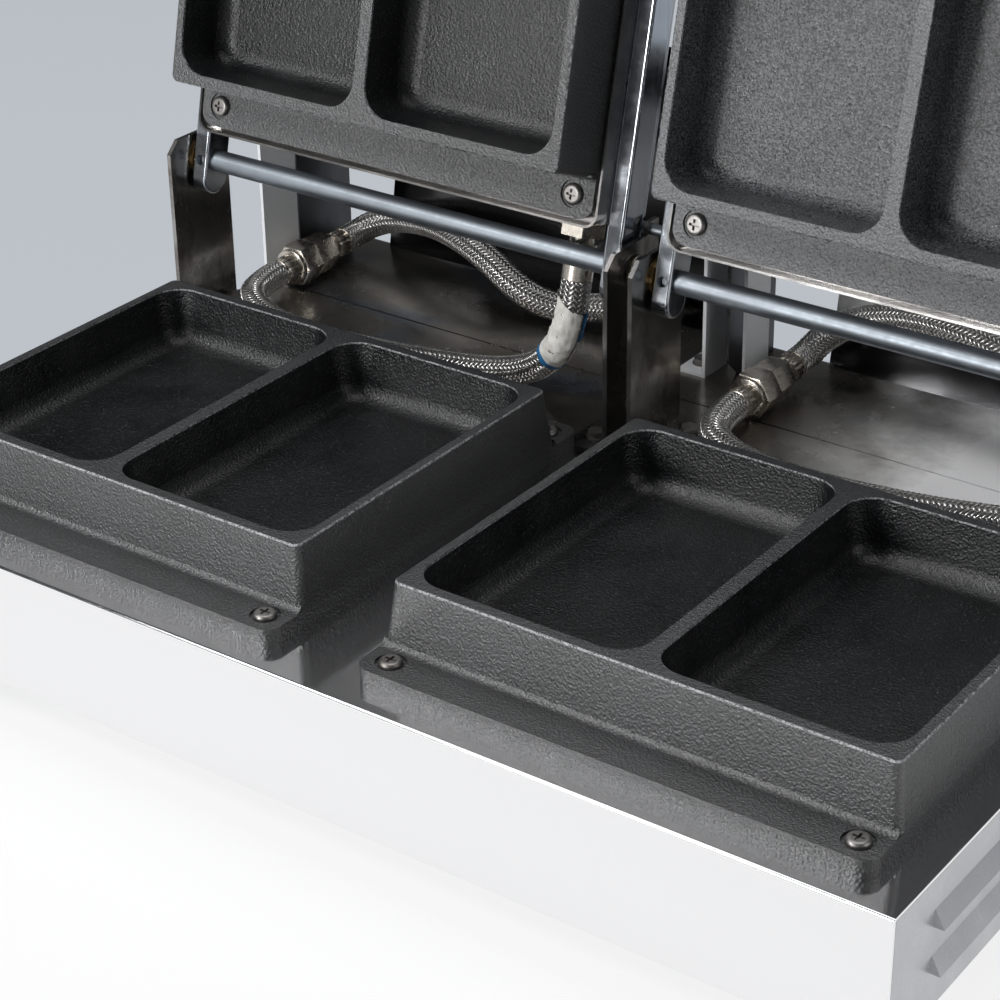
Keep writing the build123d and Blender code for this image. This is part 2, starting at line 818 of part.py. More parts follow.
def lid_burner(side):
    solid, bore = burner(lid_tube, burner_z, True)
    y1 = mould_rear - burner_rear
    end = cover_rear - pan_sheet - panel_gap
    radius = lid_tube / 2
    reach = fitting_offset_x + radius
    solid += rod_x(radius * cross_tube_share, 0, reach, y1, burner_z)
    bore += rod_x(radius * cross_tube_share - tube_wall, 0, reach - tube_wall, y1, burner_z)
    solid += rod_y(radius * inlet_tube_share, fitting_offset_x, y1, end, burner_z)
    bore += rod_y(radius * inlet_tube_share - tube_wall, fitting_offset_x, y1, end + 1, burner_z)
    solid -= bore
    half = post_thickness / 2
    for x in (-burner_half_pitch, burner_half_pitch):
        for y in (mould_front + burner_front + post_from_front, y1):
            solid += block(x - post_size / 2, x + post_size / 2, y - half, y + half,
                           pan_top, burner_z - radius + tube_wall)
            solid += block(x - post_size, x + post_size, y - half, y + half,
                           pan_top, pan_top + post_tab)
    return Pos(side * lid_centre, 0, 0) * solid


def lower_burner(side):
    z = valve_z
    solid, bore = burner(lower_tube, z, False)
    y1 = mould_rear - burner_rear
    radius = lower_tube / 2
    manifold_x = half_width - manifold_inset
    reach = manifold_x - valve_length / 2 - lid_centre - orifice_gap
    solid += rod_x(radius * cross_tube_share, 0, side * reach, y1, z)
    bore += rod_x(radius * cross_tube_share - tube_wall, 0, side * (reach + 1), y1, z)
    solid -= bore
    floor = foot_height + sheet
    wide = lower_post_width / 2
    half = post_thickness / 2
    for x in (-burner_half_pitch, burner_half_pitch):
        for y in (mould_front + burner_front + post_from_front, y1):
            solid += block(x - wide, x + wide, y - half, y + half, floor, z - radius + tube_wall)
    return Pos(side * lid_centre, 0, 0) * solid


# Gas train in the body
def gas_manifold():
    side_x = half_width - manifold_inset
    back_y = rear - manifold_rear_gap
    front_y = valve_y[0] - valve_body / 2
    radius = manifold_pipe / 2
    run = FilletPolyline((-side_x, front_y, manifold_z), (-side_x, back_y, manifold_z),
                         (side_x, back_y, manifold_z), (side_x, front_y, manifold_z),
                         radius=manifold_pipe * 1.5)
    section = Plane(origin=run @ 0, z_dir=run % 0) * Circle(radius)
    pipe = sweep(section, path=run)
    pipe += rod_y(inlet_thread / 2, 0, back_y, rear + sheet + inlet_reach, manifold_z)
    pipe += hexagon_y(inlet_hex, 0, rear + sheet, rear + sheet + inlet_hex_length, manifold_z)
    pipe -= rod_y(inlet_bore / 2, 0, back_y, rear + sheet + inlet_reach + 1, manifold_z)
    return pipe


def gas_valves():
    side_x = half_width - manifold_inset
    for side in sides.values():
        for y in valve_y:
            inner = side * (side_x - valve_length / 2)
            outer = side * (half_width - sheet - panel_gap)
            shoulder = side * (side_x + valve_length / 2 - valve_nose)
            body = rod_x(valve_body / 2, inner, shoulder, y, valve_z)
            body += rod_x(valve_nose_diameter / 2, inner, outer, y, valve_z)
            neck = valve_neck / 2
            body += block(side * side_x - neck, side * side_x + neck, y - neck, y + neck,
                          manifold_z + manifold_pipe / 2 + panel_gap, valve_z)
            body -= rod_x(stem_diameter / 2 + running_fit, side * side_x, outer + side, y, valve_z)
            yield body


def feed_pipes():
    # From each rear valve, under the deck, to the elbow that the feed hose joins.
    side_x = half_width - manifold_inset
    for side in sides.values():
        x1 = side * lid_centre + feed_end_x + elbow_socket
        y1 = front + feed_end_y
        start = (side * (side_x - valve_length / 2 - panel_gap), valve_y[1], valve_z)
        low = deck_top - elbow_below
        turn_x = start[0] - side * supply_first_leg
        run = FilletPolyline(start, (turn_x, valve_y[1], valve_z), (turn_x, y1, valve_z),
                             (x1, y1, valve_z), (x1, y1, low), radius=supply_bend)
        section = Plane(origin=run @ 0, z_dir=run % 0) * Circle(supply_pipe / 2)
        yield sweep(section, path=run)


def deck_elbows():
    for side in sides.values():
        x = side * lid_centre + feed_end_x + elbow_socket
        y = front + feed_end_y
        z = deck_top + elbow_rise
        half = elbow_size / 2
        body = block(x - half, x + half, y - half, y + half, z - half, z + half)
        body = fillet(body.edges(), elbow_rounding)
        body += rod_x(sleeve_diameter / 2, x - elbow_socket, x, y, z)
        body += rod_z(elbow_stub / 2, x, y, deck_top - elbow_below, z)
        body += hexagon_z(elbow_nut_flats, x, y, deck_top, deck_top + elbow_nut_height)
        yield body


def hex_union(side, name):
    x = side * lid_centre + union_offset[name]
    z = deck_top + union_height
    y = front + union_front
    solids = [rod_y(sleeve_diameter / 2 - 0.6, x, y, y + union_sleeve, z)]
    y += union_sleeve
    nut = rod_y(union_ring_diameter / 2, x, y, y + union_ring, z)
    y += union_ring
    nut += hexagon_y(nut_flats, x, y, y + union_nut, z)
    solids.append(nut)
    y += union_nut
    body = hexagon_y(union_body_flats, x, y, y + union_body, z)
    body += rod_y(neck_diameter / 2, x, y + union_body, y + union_body + neck_length, z)
    solids.append(body)
    y += union_body + neck_length
    solids.append(rod_y(sleeve_diameter / 2 - 0.2, x, y, y + union_sleeve, z))
    return solids


def union_length():
    return 2 * union_sleeve + union_ring + union_nut + union_body + neck_length


def gas_fitting(side):
    x = side * lid_centre + fitting_offset_x
    y = cover_rear + panel_gap
    nut = hexagon_y(nut_flats, x, y, y + nut_length, burner_z)
    y += nut_length
    nut += rod_y(neck_diameter / 2, x, y, y + neck_length, burner_z)
    y += neck_length
    sleeve = rod_y(sleeve_diameter / 2, x, y, y + sleeve_length, burner_z)
    return [nut, sleeve]


def fitting_end(side):
    # Where the open lid's hose sleeve ends, and the way that it points.
    lean = math.radians(open_angle - 90)
    along = cover_rear + panel_gap + nut_length + neck_length + sleeve_length - hinge_y
    heading = Vector(0, -math.sin(lean), -math.cos(lean))
    across = Vector(0, math.cos(lean), -math.sin(lean))
    hinge = Vector(side * lid_centre + fitting_offset_x, hinge_y, hinge_z)
    return hinge + heading * along + across * fitting_offset, heading


def corner_radii(points):
    radii = []
    for a, b, c in zip(points, points[1:], points[2:]):
        first, second = b - a, c - b
        turn = math.radians(first.get_angle(second))
        radii.append(0.45 * min(first.length, second.length) / math.tan(turn / 2))
    return radii


def hose(points, name):
    radii = corner_radii(points)
    print(name, "bend radii", [round(r) for r in radii])
    run = FilletPolyline(*points, radius=radii)
    section = Plane(origin=run @ 0, z_dir=run % 0) * Circle(hose_diameter / 2)
    tube = sweep(section, path=run)
    expected = math.pi * hose_diameter ** 2 / 4 * run.length
    print(name, "length", round(run.length), "volume over expected", round(tube.volume / expected, 4))
    return tube


def route_points(route, side):
    return [Vector(side * lid_centre + x, front + y, deck_top + z) for x, y, z in route]


def lid_hose(side, name, route):
    end, heading = fitting_end(side)
    x = side * lid_centre + union_offset[name]
    y = front + union_front
    z = deck_top + union_height
    points = [end, end + heading * lid_hose_straight] + route_points(route, side)
    points += [Vector(x, y - hose_straight, z), Vector(x, y, z)]
    return hose(points, name + "_lid_hose")


def feed_hose(side, name, route):
    x = side * lid_centre + union_offset[name]
    y = front + union_front + union_length()
    z = deck_top + union_height
    points = [Vector(x, y, z), Vector(x, y + hose_straight, z)] + route_points(route, side)
    end = Vector(side * lid_centre + feed_end_x, front + feed_end_y, deck_top + elbow_rise)
    points += [end - Vector(feed_last_run, 0, 0), end]
    return hose(points, name + "_feed_hose")


# Knobs with their stems
def knob(side, y):
    face = side * (half_width + knob_gap)
    skirt = rod_x(knob_diameter / 2, face, face + side * knob_skirt, y, valve_z)
    bar = rod_x(knob_diameter / 2 - knob_bar_inset, face + side * knob_skirt,
                face + side * knob_length, y, valve_z)
    half = knob_diameter / 2 - knob_grip_inset
    grip = block(*sorted((face, face + side * knob_length)), y - half, y + half,
                 valve_z - knob_grip_width / 2, valve_z + knob_grip_width / 2)
    body = skirt + (bar & grip)
    inner = side * (half_width - manifold_inset + stem_in_valve)
    return body + rod_x(stem_diameter / 2, inner, face + side, y, valve_z)


# Rear frame, which carries the heat guards behind the open lids
def angle_tabs():
    # Where the bolt of each foot angle stands.
    inner_x = -(post_sheet / 2 + angle_beside_post + angle_tab / 2)
    for side in (-1, 1):
        yield side * -inner_x, front + angle_front + angle_strip / 2
        outer_x = side * (half_width - post_sheet - angle_tab / 2)
        yield outer_x, front + angle_outer_front + angle_outer_strip / 2


def foot_angles():
    for side in (-1, 1):
        inner = side * (post_sheet / 2 + angle_beside_post)
        y0 = front + angle_front
        strip = block(*sorted((inner, inner - side * angle_sheet)), y0, y0 + angle_strip,
                      deck_top, deck_top + angle_height)
        tab = block(*sorted((inner - side * angle_sheet, inner + side * angle_tab)),
                    y0, y0 + angle_strip, deck_top, deck_top + angle_sheet)
        piece = strip + tab
        yield with_bolt_holes(piece, angle_tabs())
        outer = side * half_width
        y0 = front + angle_outer_front
        strip = block(*sorted((outer, outer - side * angle_sheet)), y0, y0 + angle_outer_strip,
                      deck_top, deck_top + angle_height)
        tab = block(*sorted((outer, outer - side * (angle_tab + post_sheet))),
                    y0, y0 + angle_outer_strip, deck_top, deck_top + angle_sheet)
        piece = strip + tab
        yield with_bolt_holes(piece, angle_tabs())


def rear_frame():
    # Three upright plates joined by a rail along their rear edges.
    solids = []
    y0 = front + post_front
    y1 = rear - guard_sheet - guard_gap
    top = deck_top + post_height
    for x in (-half_width + post_sheet / 2, 0.0, half_width - post_sheet / 2):
        outline = [(y0 + post_foot_chamfer, deck_top), (y0, deck_top + post_foot_chamfer),
                   (y0, top - post_top_chamfer), (y0 + post_top_chamfer, top),
                   (y1, top), (y1, deck_top)]
        solids.append(profile_yz(outline, x - post_sheet / 2, x + post_sheet / 2))
    rail = block(-half_width, half_width, y1 - rail_depth, y1, top - post_sheet, top)
    rail += block(-half_width, half_width, y1 - post_sheet, y1, top - rail_height, top)
    body = rail
    for solid in solids:
        body += solid
    for side in sides.values():
        for spacer in guard_spacers(side):
            body += spacer
    return body


def heat_guard(side):
    # A plain sheet that stands on the deck's rear edge and leans back.
    x = side * lid_centre
    lean = math.radians(guard_lean)
    y0 = rear - guard_sheet
    top_y = y0 + guard_height * math.tan(lean)
    z0, z1 = deck_top, deck_top + guard_height
    thick = guard_sheet / math.cos(lean)
    outline = [(y0, z0), (y0 + thick, z0), (top_y + thick, z1), (top_y, z1)]
    return profile_yz(outline, x - guard_half_width, x + guard_half_width)


def guard_spacers(side):
    # Wedges between the rail and the leaning guard.
    lean = math.radians(guard_lean)
    z0 = deck_top + post_height - rail_height
    z1 = deck_top + post_height
    y0 = rear - guard_sheet - guard_gap
    reach = rear - guard_sheet
    for end in (-1, 1):
        x = side * lid_centre + end * (guard_half_width - spacer_inset)
        outline = [(y0, z0), (reach + (z0 - deck_top) * math.tan(lean), z0),
                   (reach + (z1 - deck_top) * math.tan(lean), z1), (y0, z1)]
        yield profile_yz(outline, x - spacer_width / 2, x + spacer_width / 2)


def main():
    os.makedirs("parts", exist_ok=True)
    mould = casting()
    save(front_deck(), "front_deck")
    save(rear_deck(), "rear_deck")
    save(rear_panel(), "rear_panel")
    save(bottom_panel(), "bottom_panel")
    save(group(foot(x, y) for x, y in foot_places()), "feet")
    save(middle_bracket(), "middle_hinge_bracket")
    save(group(bushes()), "hinge_bushes")
    save(group(stop_pins()), "lid_stop_pins")
    save(thrust_spring(), "thrust_spring")
    bracket_bolts = [bolt(x, y, deck_top + bracket_plate) for x, y in bracket_bolt_places()]
    frame_bolts = [bolt(x, y, deck_top + angle_sheet) for x, y in angle_tabs()]
    save(group(bracket_bolts + frame_bolts), "deck_bolts")
    save(rear_frame(), "rear_frame")
    save(group(foot_angles()), "foot_angles")
    save(gas_manifold(), "gas_manifold")
    save(group(gas_valves()), "gas_valves")
    save(group(feed_pipes()), "feed_pipes")
    save(group(deck_elbows()), "deck_elbows")
    lower_screws = []
    unions = []
    for name, side in sides.items():
        save(side_panel(side), name + "_side_panel")
        save(outer_bracket(side), name + "_hinge_bracket")
        save(on_deck(mould, side), name + "_lower_mould")
        lower_screws += [on_deck(screw, side) for screw in screws()]
        save(lower_burner(side), name + "_lower_burner")
        save(heat_guard(side), name + "_heat_guard")
        unions += hex_union(side, name)
        save(open_lid(upside_down(mould, side)), name + "_upper_mould")
        lid_screws = [open_lid(upside_down(screw, side)) for screw in screws()]
        save(group(lid_screws), name + "_upper_mould_screws")
        save(open_lid(pan(side)), name + "_lid_pan")
        save(open_lid(cover(side)), name + "_lid_cover")
        save(open_lid(arm(side, -1)), name + "_lid_arm_left")
        save(open_lid(arm(side, 1)), name + "_lid_arm_right")
        save(open_lid(hinge_rod(side)), name + "_hinge_rod")
        save(group(open_lid(pin) for pin in cross_pins(side)), name + "_cross_pins")
        save(open_lid(handle_rod(side)), name + "_handle_bar")
        save(open_lid(handle_sleeve(side)), name + "_handle_grip")
        save(open_lid(lid_burner(side)), name + "_lid_burner")
        save(group(open_lid(piece) for piece in gas_fitting(side)), name + "_gas_fitting")
        save(knob(side, valve_y[0]), name + "_lower_knob")
        save(knob(side, valve_y[1]), name + "_upper_knob")
    save(group(lower_screws), "lower_mould_screws")
    save(group(unions), "hose_unions")
    save(lid_hose(-1, "left", left_lid_hose_route), "left_lid_hose")
    save(lid_hose(1, "right", right_lid_hose_route), "right_lid_hose")
    save(feed_hose(-1, "left", left_feed_hose_route), "left_feed_hose")
    save(feed_hose(1, "right", right_feed_hose_route), "right_feed_hose")


main()
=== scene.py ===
# %% [markdown]
# A gas press for filled toast: two cast moulds on a steel body, and over each a lid that
# carries the same casting, its own burner and a braided gas hose. The metalwork comes
# from the CAD frame at its real size. This file gives every surface its finish, and makes
# what a CAD solid can't show: the braid of the hoses and the paper wrapped round one.

# %% The frame
import json
import math

import bmesh
import bpy
import numpy as np
from mathutils import Matrix, Vector
from mathutils import noise as wrinkle


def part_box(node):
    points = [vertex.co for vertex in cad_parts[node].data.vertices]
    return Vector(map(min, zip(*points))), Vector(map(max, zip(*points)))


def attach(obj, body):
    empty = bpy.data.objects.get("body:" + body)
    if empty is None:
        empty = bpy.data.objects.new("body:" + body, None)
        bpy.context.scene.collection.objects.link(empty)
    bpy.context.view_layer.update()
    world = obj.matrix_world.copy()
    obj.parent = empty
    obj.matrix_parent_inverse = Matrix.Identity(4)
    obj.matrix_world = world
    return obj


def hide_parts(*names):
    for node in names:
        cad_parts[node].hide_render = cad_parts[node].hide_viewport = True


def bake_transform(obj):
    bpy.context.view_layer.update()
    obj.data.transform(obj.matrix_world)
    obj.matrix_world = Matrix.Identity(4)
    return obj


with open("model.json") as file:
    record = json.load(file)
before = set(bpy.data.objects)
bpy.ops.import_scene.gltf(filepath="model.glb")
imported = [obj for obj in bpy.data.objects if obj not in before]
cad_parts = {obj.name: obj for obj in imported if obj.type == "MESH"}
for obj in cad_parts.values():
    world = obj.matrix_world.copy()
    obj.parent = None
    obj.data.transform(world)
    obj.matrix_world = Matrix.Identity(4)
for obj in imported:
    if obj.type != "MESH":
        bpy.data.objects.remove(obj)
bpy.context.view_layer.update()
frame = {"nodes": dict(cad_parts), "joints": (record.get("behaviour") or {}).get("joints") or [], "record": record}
nodes = frame["nodes"]

# %% [markdown]
# The press is easiest to describe in the places that a fitter would use: the front edge of
# the deck, its top face, the middle of a lid and the hinge axis. They are read from the
# frame, so they follow the CAD model.

# %% Places on the press
mm = 0.001
deck_low, deck_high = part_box("front_deck")
deck_top = deck_high.z
front_edge = deck_low.y
hinges = {}
for joint in frame["joints"]:
    if joint["name"].endswith("lid_hinge"):
        hinges[joint["child"]] = Vector(joint["pos_m"])
        open_angle = math.radians(joint["range_deg"][1])
hinge = hinges["right_lid"]
lid_centre = hinge.x
mould_low, mould_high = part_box("right_lower_mould")
mould_height = mould_high.z - deck_top
mould_middle = (mould_low.y + mould_high.y) / 2
sides = {"left": -1, "right": 1}
print("deck top", round(deck_top, 4), "hinge", [round(v, 4) for v in hinge])


def opened(point, middle):
    """Where a point of a closed lid stands when the lid is open."""
    axis = Vector((middle, hinge.y, hinge.z))
    return axis + Matrix.Rotation(-open_angle, 3, "X") @ (Vector(point) - axis)


# %% [markdown]
# The camera looks down over the right front corner with a long lens, so upright edges stay
# nearly parallel. Its heading and height are written as a photographer would say them, and
# turned into a matrix: first aimed, then rolled a little about its own line of sight.

# %% Camera
camera_place = Vector((0.6467, -0.94745, 0.70005))
camera_heading = math.radians(36.2545)
camera_dip = math.radians(28.23)
camera_roll = math.radians(-0.895)
sensor_in_mm = 36
lens_in_mm = 93.277
camera_data = bpy.data.cameras.new("camera")
camera_data.sensor_width = sensor_in_mm
camera_data.lens = lens_in_mm
camera_data.clip_start = 0.01
camera = bpy.data.objects.new("camera", camera_data)
bpy.context.scene.collection.objects.link(camera)
tilt = Matrix.Rotation(math.radians(90) - camera_dip, 4, "X")
aim = Matrix.Rotation(camera_heading, 4, "Z") @ tilt
roll = Matrix.Rotation(camera_roll, 4, "Z")
camera.matrix_world = Matrix.Translation(camera_place) @ aim @ roll
bpy.context.scene.camera = camera
bpy.context.scene.view_settings.view_transform = "Standard"

# %% [markdown]
# Shader nodes are added by one short function. It sets a node's own settings by name, and
# its inputs by name or number, either to a value or to another node's output. Every
# pattern reads Object coordinates, so it stays on the piece when a lid swings.


# %% Helpers for shader nodes
def add(tree, kind, inputs=(), **settings):
    node = tree.nodes.new("ShaderNode" + kind)
    for name, value in settings.items():
        setattr(node, name, value)
    for key, value in dict(inputs).items():
        if isinstance(value, bpy.types.NodeSocket):
            tree.links.new(value, node.inputs[key])
        else:
            node.inputs[key].default_value = value
    return node


def new_finish(name, color, metallic, roughness, **sockets):
    material = bpy.data.materials.new(name)
    material.use_nodes = True
    shader = material.node_tree.nodes["Principled BSDF"]
    shader.inputs["Base Color"].default_value = (*color, 1)
    shader.inputs["Metallic"].default_value = metallic
    shader.inputs["Roughness"].default_value = roughness
    for key, value in sockets.items():
        shader.inputs[key.replace("_", " ")].default_value = value
    return material, material.node_tree, shader


def place_on(tree, origin=(0, 0, 0), turn=0.0, stretch=(1, 1, 1)):
    """Object coordinates in metres, seen from a place on the press, then stretched."""
    spot = add(tree, "TexCoord").outputs["Object"]
    frame_there = {"Vector": spot, "Location": origin, "Rotation": (turn, 0, 0)}
    local = add(tree, "Mapping", frame_there, vector_type="TEXTURE").outputs[0]
    return add(tree, "Mapping", {"Vector": local, "Scale": stretch}).outputs[0]


def noise(tree, where, scale, detail=3.0, roughness=0.55):
    return add(tree, "TexNoise", {"Vector": where, "Scale": scale, "Detail": detail,
                                  "Roughness": roughness}).outputs["Fac"]


def ramp(tree, value, low, high, from_low=0.0, from_high=1.0):
    """Maps a range of one value onto another, and stays inside it."""
    return add(tree, "MapRange", {"Value": value, "From Min": from_low, "From Max": from_high,
                                  "To Min": low, "To Max": high}).outputs["Result"]


def maths(tree, operation, *values):
    return add(tree, "Math", dict(enumerate(values)), operation=operation).outputs[0]


def tint(tree, factor, color_a, color_b):
    """Goes from one colour to another; either may be another node's output."""
    colors = [c if isinstance(c, bpy.types.NodeSocket) else (*c, 1) for c in (color_a, color_b)]
    return add(tree, "Mix", {0: factor, 6: colors[0], 7: colors[1]}, data_type="RGBA").outputs[2]


def bump(tree, height, strength, depth, under=None):
    inputs = {"Height": height, "Strength": strength, "Distance": depth}
    if under is not None:
        inputs["Normal"] = under
    return add(tree, "Bump", inputs).outputs["Normal"]


# %% [markdown]
# The press stands on one pale sheet, white in front and a cool grey behind, as a studio
# table runs into its backdrop. The change of tone is painted into the sheet itself, in
# metres from front to back. What the camera or a shiny part sees of it is mostly its own
# even glow, so the white stays white without more light on the press; the rest is lit by
# the lamps, which keeps a soft shadow under the body.

# %% Floor
floor_size = 9.0
white_in_front = (0.86, 0.865, 0.87)
grey_behind = (0.525, 0.56, 0.60)
glow_in_front = (1.0, 1.0, 1.0)
glow_share = 0.82
tone_slant = -0.45
tone_starts, tone_ends = -0.13, 0.2
shape = bmesh.new()
bmesh.ops.create_grid(shape, x_segments=1, y_segments=1, size=floor_size / 2)
floor_mesh = bpy.data.meshes.new("floor")
shape.to_mesh(floor_mesh)
shape.free()
floor = bpy.data.objects.new("floor", floor_mesh)
bpy.context.scene.collection.objects.link(floor)
material, tree, shader = new_finish("studio_sheet", white_in_front, 0.0, 0.9)
axes = add(tree, "SeparateXYZ", {0: place_on(tree)})
across = maths(tree, "MULTIPLY", axes.outputs["X"], tone_slant)
depth_on_sheet = maths(tree, "ADD", axes.outputs["Y"], across)
tone = ramp(tree, depth_on_sheet, 0.0, 1.0, tone_starts, tone_ends)
tree.links.new(tint(tree, tone, white_in_front, grey_behind), shader.inputs["Base Color"])
path = add(tree, "LightPath").outputs
seen = maths(tree, "MAXIMUM", path["Is Camera Ray"], path["Is Glossy Ray"])
seen = maths(tree, "MAXIMUM", seen, path["Is Transmission Ray"])
glow = add(tree, "Emission", {"Color": tint(tree, tone, glow_in_front, grey_behind)})
sheet = add(tree, "MixShader", {0: maths(tree, "MULTIPLY", seen, glow_share),
                                1: shader.outputs[0], 2: glow.outputs[0]})
tree.links.new(sheet.outputs[0], tree.nodes["Material Output"].inputs["Surface"])
floor_mesh.materials.append(material)

# %% [markdown]
# Oiled iron and polished steel show the room, so the lamps are soft boxes with a clear
# place: a key high in front on the left, which draws the bright lines along the rounded
# floors of the moulds, a low one in front, whose sheen fills the open upper moulds, a broad
# one overhead and a weak one at the right. The room itself is dim, which keeps the gaps
# between the moulds dark.


# %% Lamps and room
def soft_box(name, place, target, width, height, watts):
    lamp = bpy.data.lights.new(name, "AREA")
    lamp.shape = "RECTANGLE"
    lamp.size = width
    lamp.size_y = height
    lamp.energy = watts
    box = bpy.data.objects.new(name, lamp)
    bpy.context.scene.collection.objects.link(box)
    facing = (Vector(target) - Vector(place)).to_track_quat("-Z", "Y")
    box.matrix_world = Matrix.Translation(place) @ facing.to_matrix().to_4x4()


soft_box("overhead", (-0.1, 0.3, 2.1), (0, 0, 0.1), 2.2, 1.5, 22)
soft_box("key", (-1.15, -1.4, 1.75), (0, 0, 0.1), 0.7, 0.5, 24)
soft_box("low_front", (-0.68, -2.1, 0.64), (0.15, 0.1, 0.3), 0.55, 0.5, 26)
soft_box("right_fill", (2.0, 0.1, 0.7), (0, 0, 0.15), 0.9, 0.9, 8)
world = bpy.data.worlds.new("room")
world.use_nodes = True
room_light = world.node_tree.nodes["Background"].inputs
room_light["Color"].default_value = (0.72, 0.75, 0.79, 1)
room_light["Strength"].default_value = 0.07
bpy.context.scene.world = world

# %% [markdown]
# Four braided gas hoses run behind the moulds. From each deck elbow a feed hose crosses the
# rear deck to a hexagon union at the left, and from the union a lid hose comes back along
# the moulds and climbs to the open lid. A hose has one natural line, a smooth spline that
# passes near a few chosen points, so those points are all that is written here: across
# from the middle of the lid, back from the front edge, and up from the deck.

# %% Hose routes
fitting_across = 103.0 * mm
fitting_below = 15.5 * mm
sleeve_radius = 8.3 * mm
lid_straight = 14.0 * mm
union_straight = 12.0
union_height = 13.0
union_front = 321.5
union_length = 60.0
union_offset = {"left": -124.0, "right": -119.0}
elbow_ends = [(59.0, 387.5, 14.0), (74.0, 387.5, 14.0)]
lid_hose_routes = {
    "left": [(101.0, 289.5, 42.0), (80.0, 298.0, 17.0), (56.0, 294.0, 8.6), (22.0, 283.5, 8.2),
             (-18.0, 275.5, 8.2), (-58.0, 272.5, 8.2), (-94.0, 275.0, 9.2), (-118.0, 289.0, 11.6)],
    "right": [(101.5, 290.0, 42.0), (82.0, 298.5, 17.0), (58.0, 296.5, 8.6), (26.0, 286.0, 8.2),
              (-14.0, 277.5, 8.2), (-52.0, 273.5, 8.2), (-90.0, 276.5, 9.2), (-114.0, 288.5, 11.2)],
}
feed_hose_routes = {
    "left": [(-117.0, 401.0, 19.0), (-98.0, 404.0, 26.0), (-62.0, 397.0, 32.0),
             (-22.0, 384.0, 28.0), (12.0, 374.0, 15.0), (38.0, 378.0, 9.0)],
    "right": [(-112.0, 400.0, 24.0), (-94.0, 402.0, 38.0), (-60.0, 396.0, 51.0),
              (-18.0, 386.0, 55.0), (20.0, 378.0, 46.0), (42.0, 379.0, 24.0)],
}


def on_press(side, point):
    x, y, z = point
    return Vector((side * lid_centre + x * mm, front_edge + y * mm, deck_top + z * mm))


def lid_hose_points(name, side):
    sleeve_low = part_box(name + "_gas_fitting")[0]
    lean = open_angle - math.radians(90)
    heading = Vector((0, -math.sin(lean), -math.cos(lean)))
    across = Vector((0, math.cos(lean), -math.sin(lean)))
    # The sleeve's lowest corner gives how far below the hinge the fitting ends.
    reach = (hinge.z - fitting_below * math.sin(lean) - sleeve_low.z
             - sleeve_radius * math.sin(lean)) / math.cos(lean)
    start = Vector((side * lid_centre + fitting_across, hinge.y, hinge.z))
    start += heading * reach + across * fitting_below
    x = union_offset[name]
    points = [start, start + heading * lid_straight]
    points += [on_press(side, p) for p in lid_hose_routes[name]]
    points += [on_press(side, (x, union_front - union_straight, union_height)),
               on_press(side, (x, union_front, union_height))]
    return points


def feed_hose_points(name, side):
    x = union_offset[name]
    back = union_front + union_length
    points = [on_press(side, (x, back, union_height)),
              on_press(side, (x, back + union_straight, union_height))]
    points += [on_press(side, p) for p in feed_hose_routes[name] + elbow_ends]
    return points


# %% [markdown]
# The spline's evaluated line is read back as a mesh of points. Along it a frame is carried
# without twist, so that anything wound round the hose lies evenly even through a bend.


# %% Reading a hose's centre line
def centre_line(name, points, step):
    """Evenly spaced points along the spline, as an array."""
    curve = bpy.data.curves.new(name, "CURVE")
    curve.dimensions = "3D"
    curve.resolution_u = 16
    spline = curve.splines.new("NURBS")
    spline.points.add(len(points) - 1)
    for control, point in zip(spline.points, points):
        control.co = (*point, 1)
    spline.order_u = 3
    spline.use_endpoint_u = True
    guide = bpy.data.objects.new(name, curve)
    bpy.context.scene.collection.objects.link(guide)
    mesh = bpy.data.meshes.new_from_object(guide)
    line = np.array([v.co for v in mesh.vertices])
    bpy.data.objects.remove(guide)
    bpy.data.meshes.remove(mesh)
    run = np.concatenate([[0], np.cumsum(np.linalg.norm(np.diff(line, axis=0), axis=1))])
    stops = np.linspace(0, run[-1], round(run[-1] / step) + 1)
    return np.stack([np.interp(stops, run, line[:, k]) for k in range(3)], axis=1)


def length_of(line):
    return float(np.linalg.norm(np.diff(line, axis=0), axis=1).sum())


def frames_along(line):
    """Tangents, and two square directions carried along the line without twist."""
    tangents = np.gradient(line, axis=0)
    tangents /= np.linalg.norm(tangents, axis=1)[:, None]
    first = np.cross(tangents[0], (0.3, 0.9, 0.2))
    normals = [first / np.linalg.norm(first)]
    for tangent in tangents[1:]:
        carried = normals[-1] - tangent * (normals[-1] @ tangent)
        normals.append(carried / np.linalg.norm(carried))
    normals = np.array(normals)
    return tangents, normals, np.cross(tangents, normals)


def round_the_line(line, frames, along, angle, radius):
    """A point at an angle round the line and at a distance from it; along runs from 0 to 1."""
    tangents, normals, others = frames
    spot = np.clip(along, 0, 1) * (len(line) - 1)
    index = np.arange(len(line))
    at = [np.stack([np.interp(spot, index, a[:, k]) for k in range(3)], axis=1)
          for a in (line, normals, others)]
    out = at[1] * np.cos(angle)[:, None] + at[2] * np.sin(angle)[:, None]
    return at[0] + out * radius[:, None]


# %% [markdown]
# A steel braid is a real weave: sixteen flat ribbons of wire wind one way, sixteen the
# other, and each passes over two and under two. A bump map shows that from far away only,
# and its outline stays a plain tube, so each ribbon is modelled. One four-sided bar is cut
# into many short lengths, and its corners are then laid along a helix that rises and dips.

# %% Braided hoses
ribbons_each_way = 16
braid_lead = 44.0 * mm
braid_radius = 7.55 * mm
ribbon_half_width = 1.12 * mm
ribbon_crown = 0.34 * mm
weave_lift = 0.34 * mm
cuts_per_crossing = 1.7
line_step = 1.0 * mm
core_corners = 24


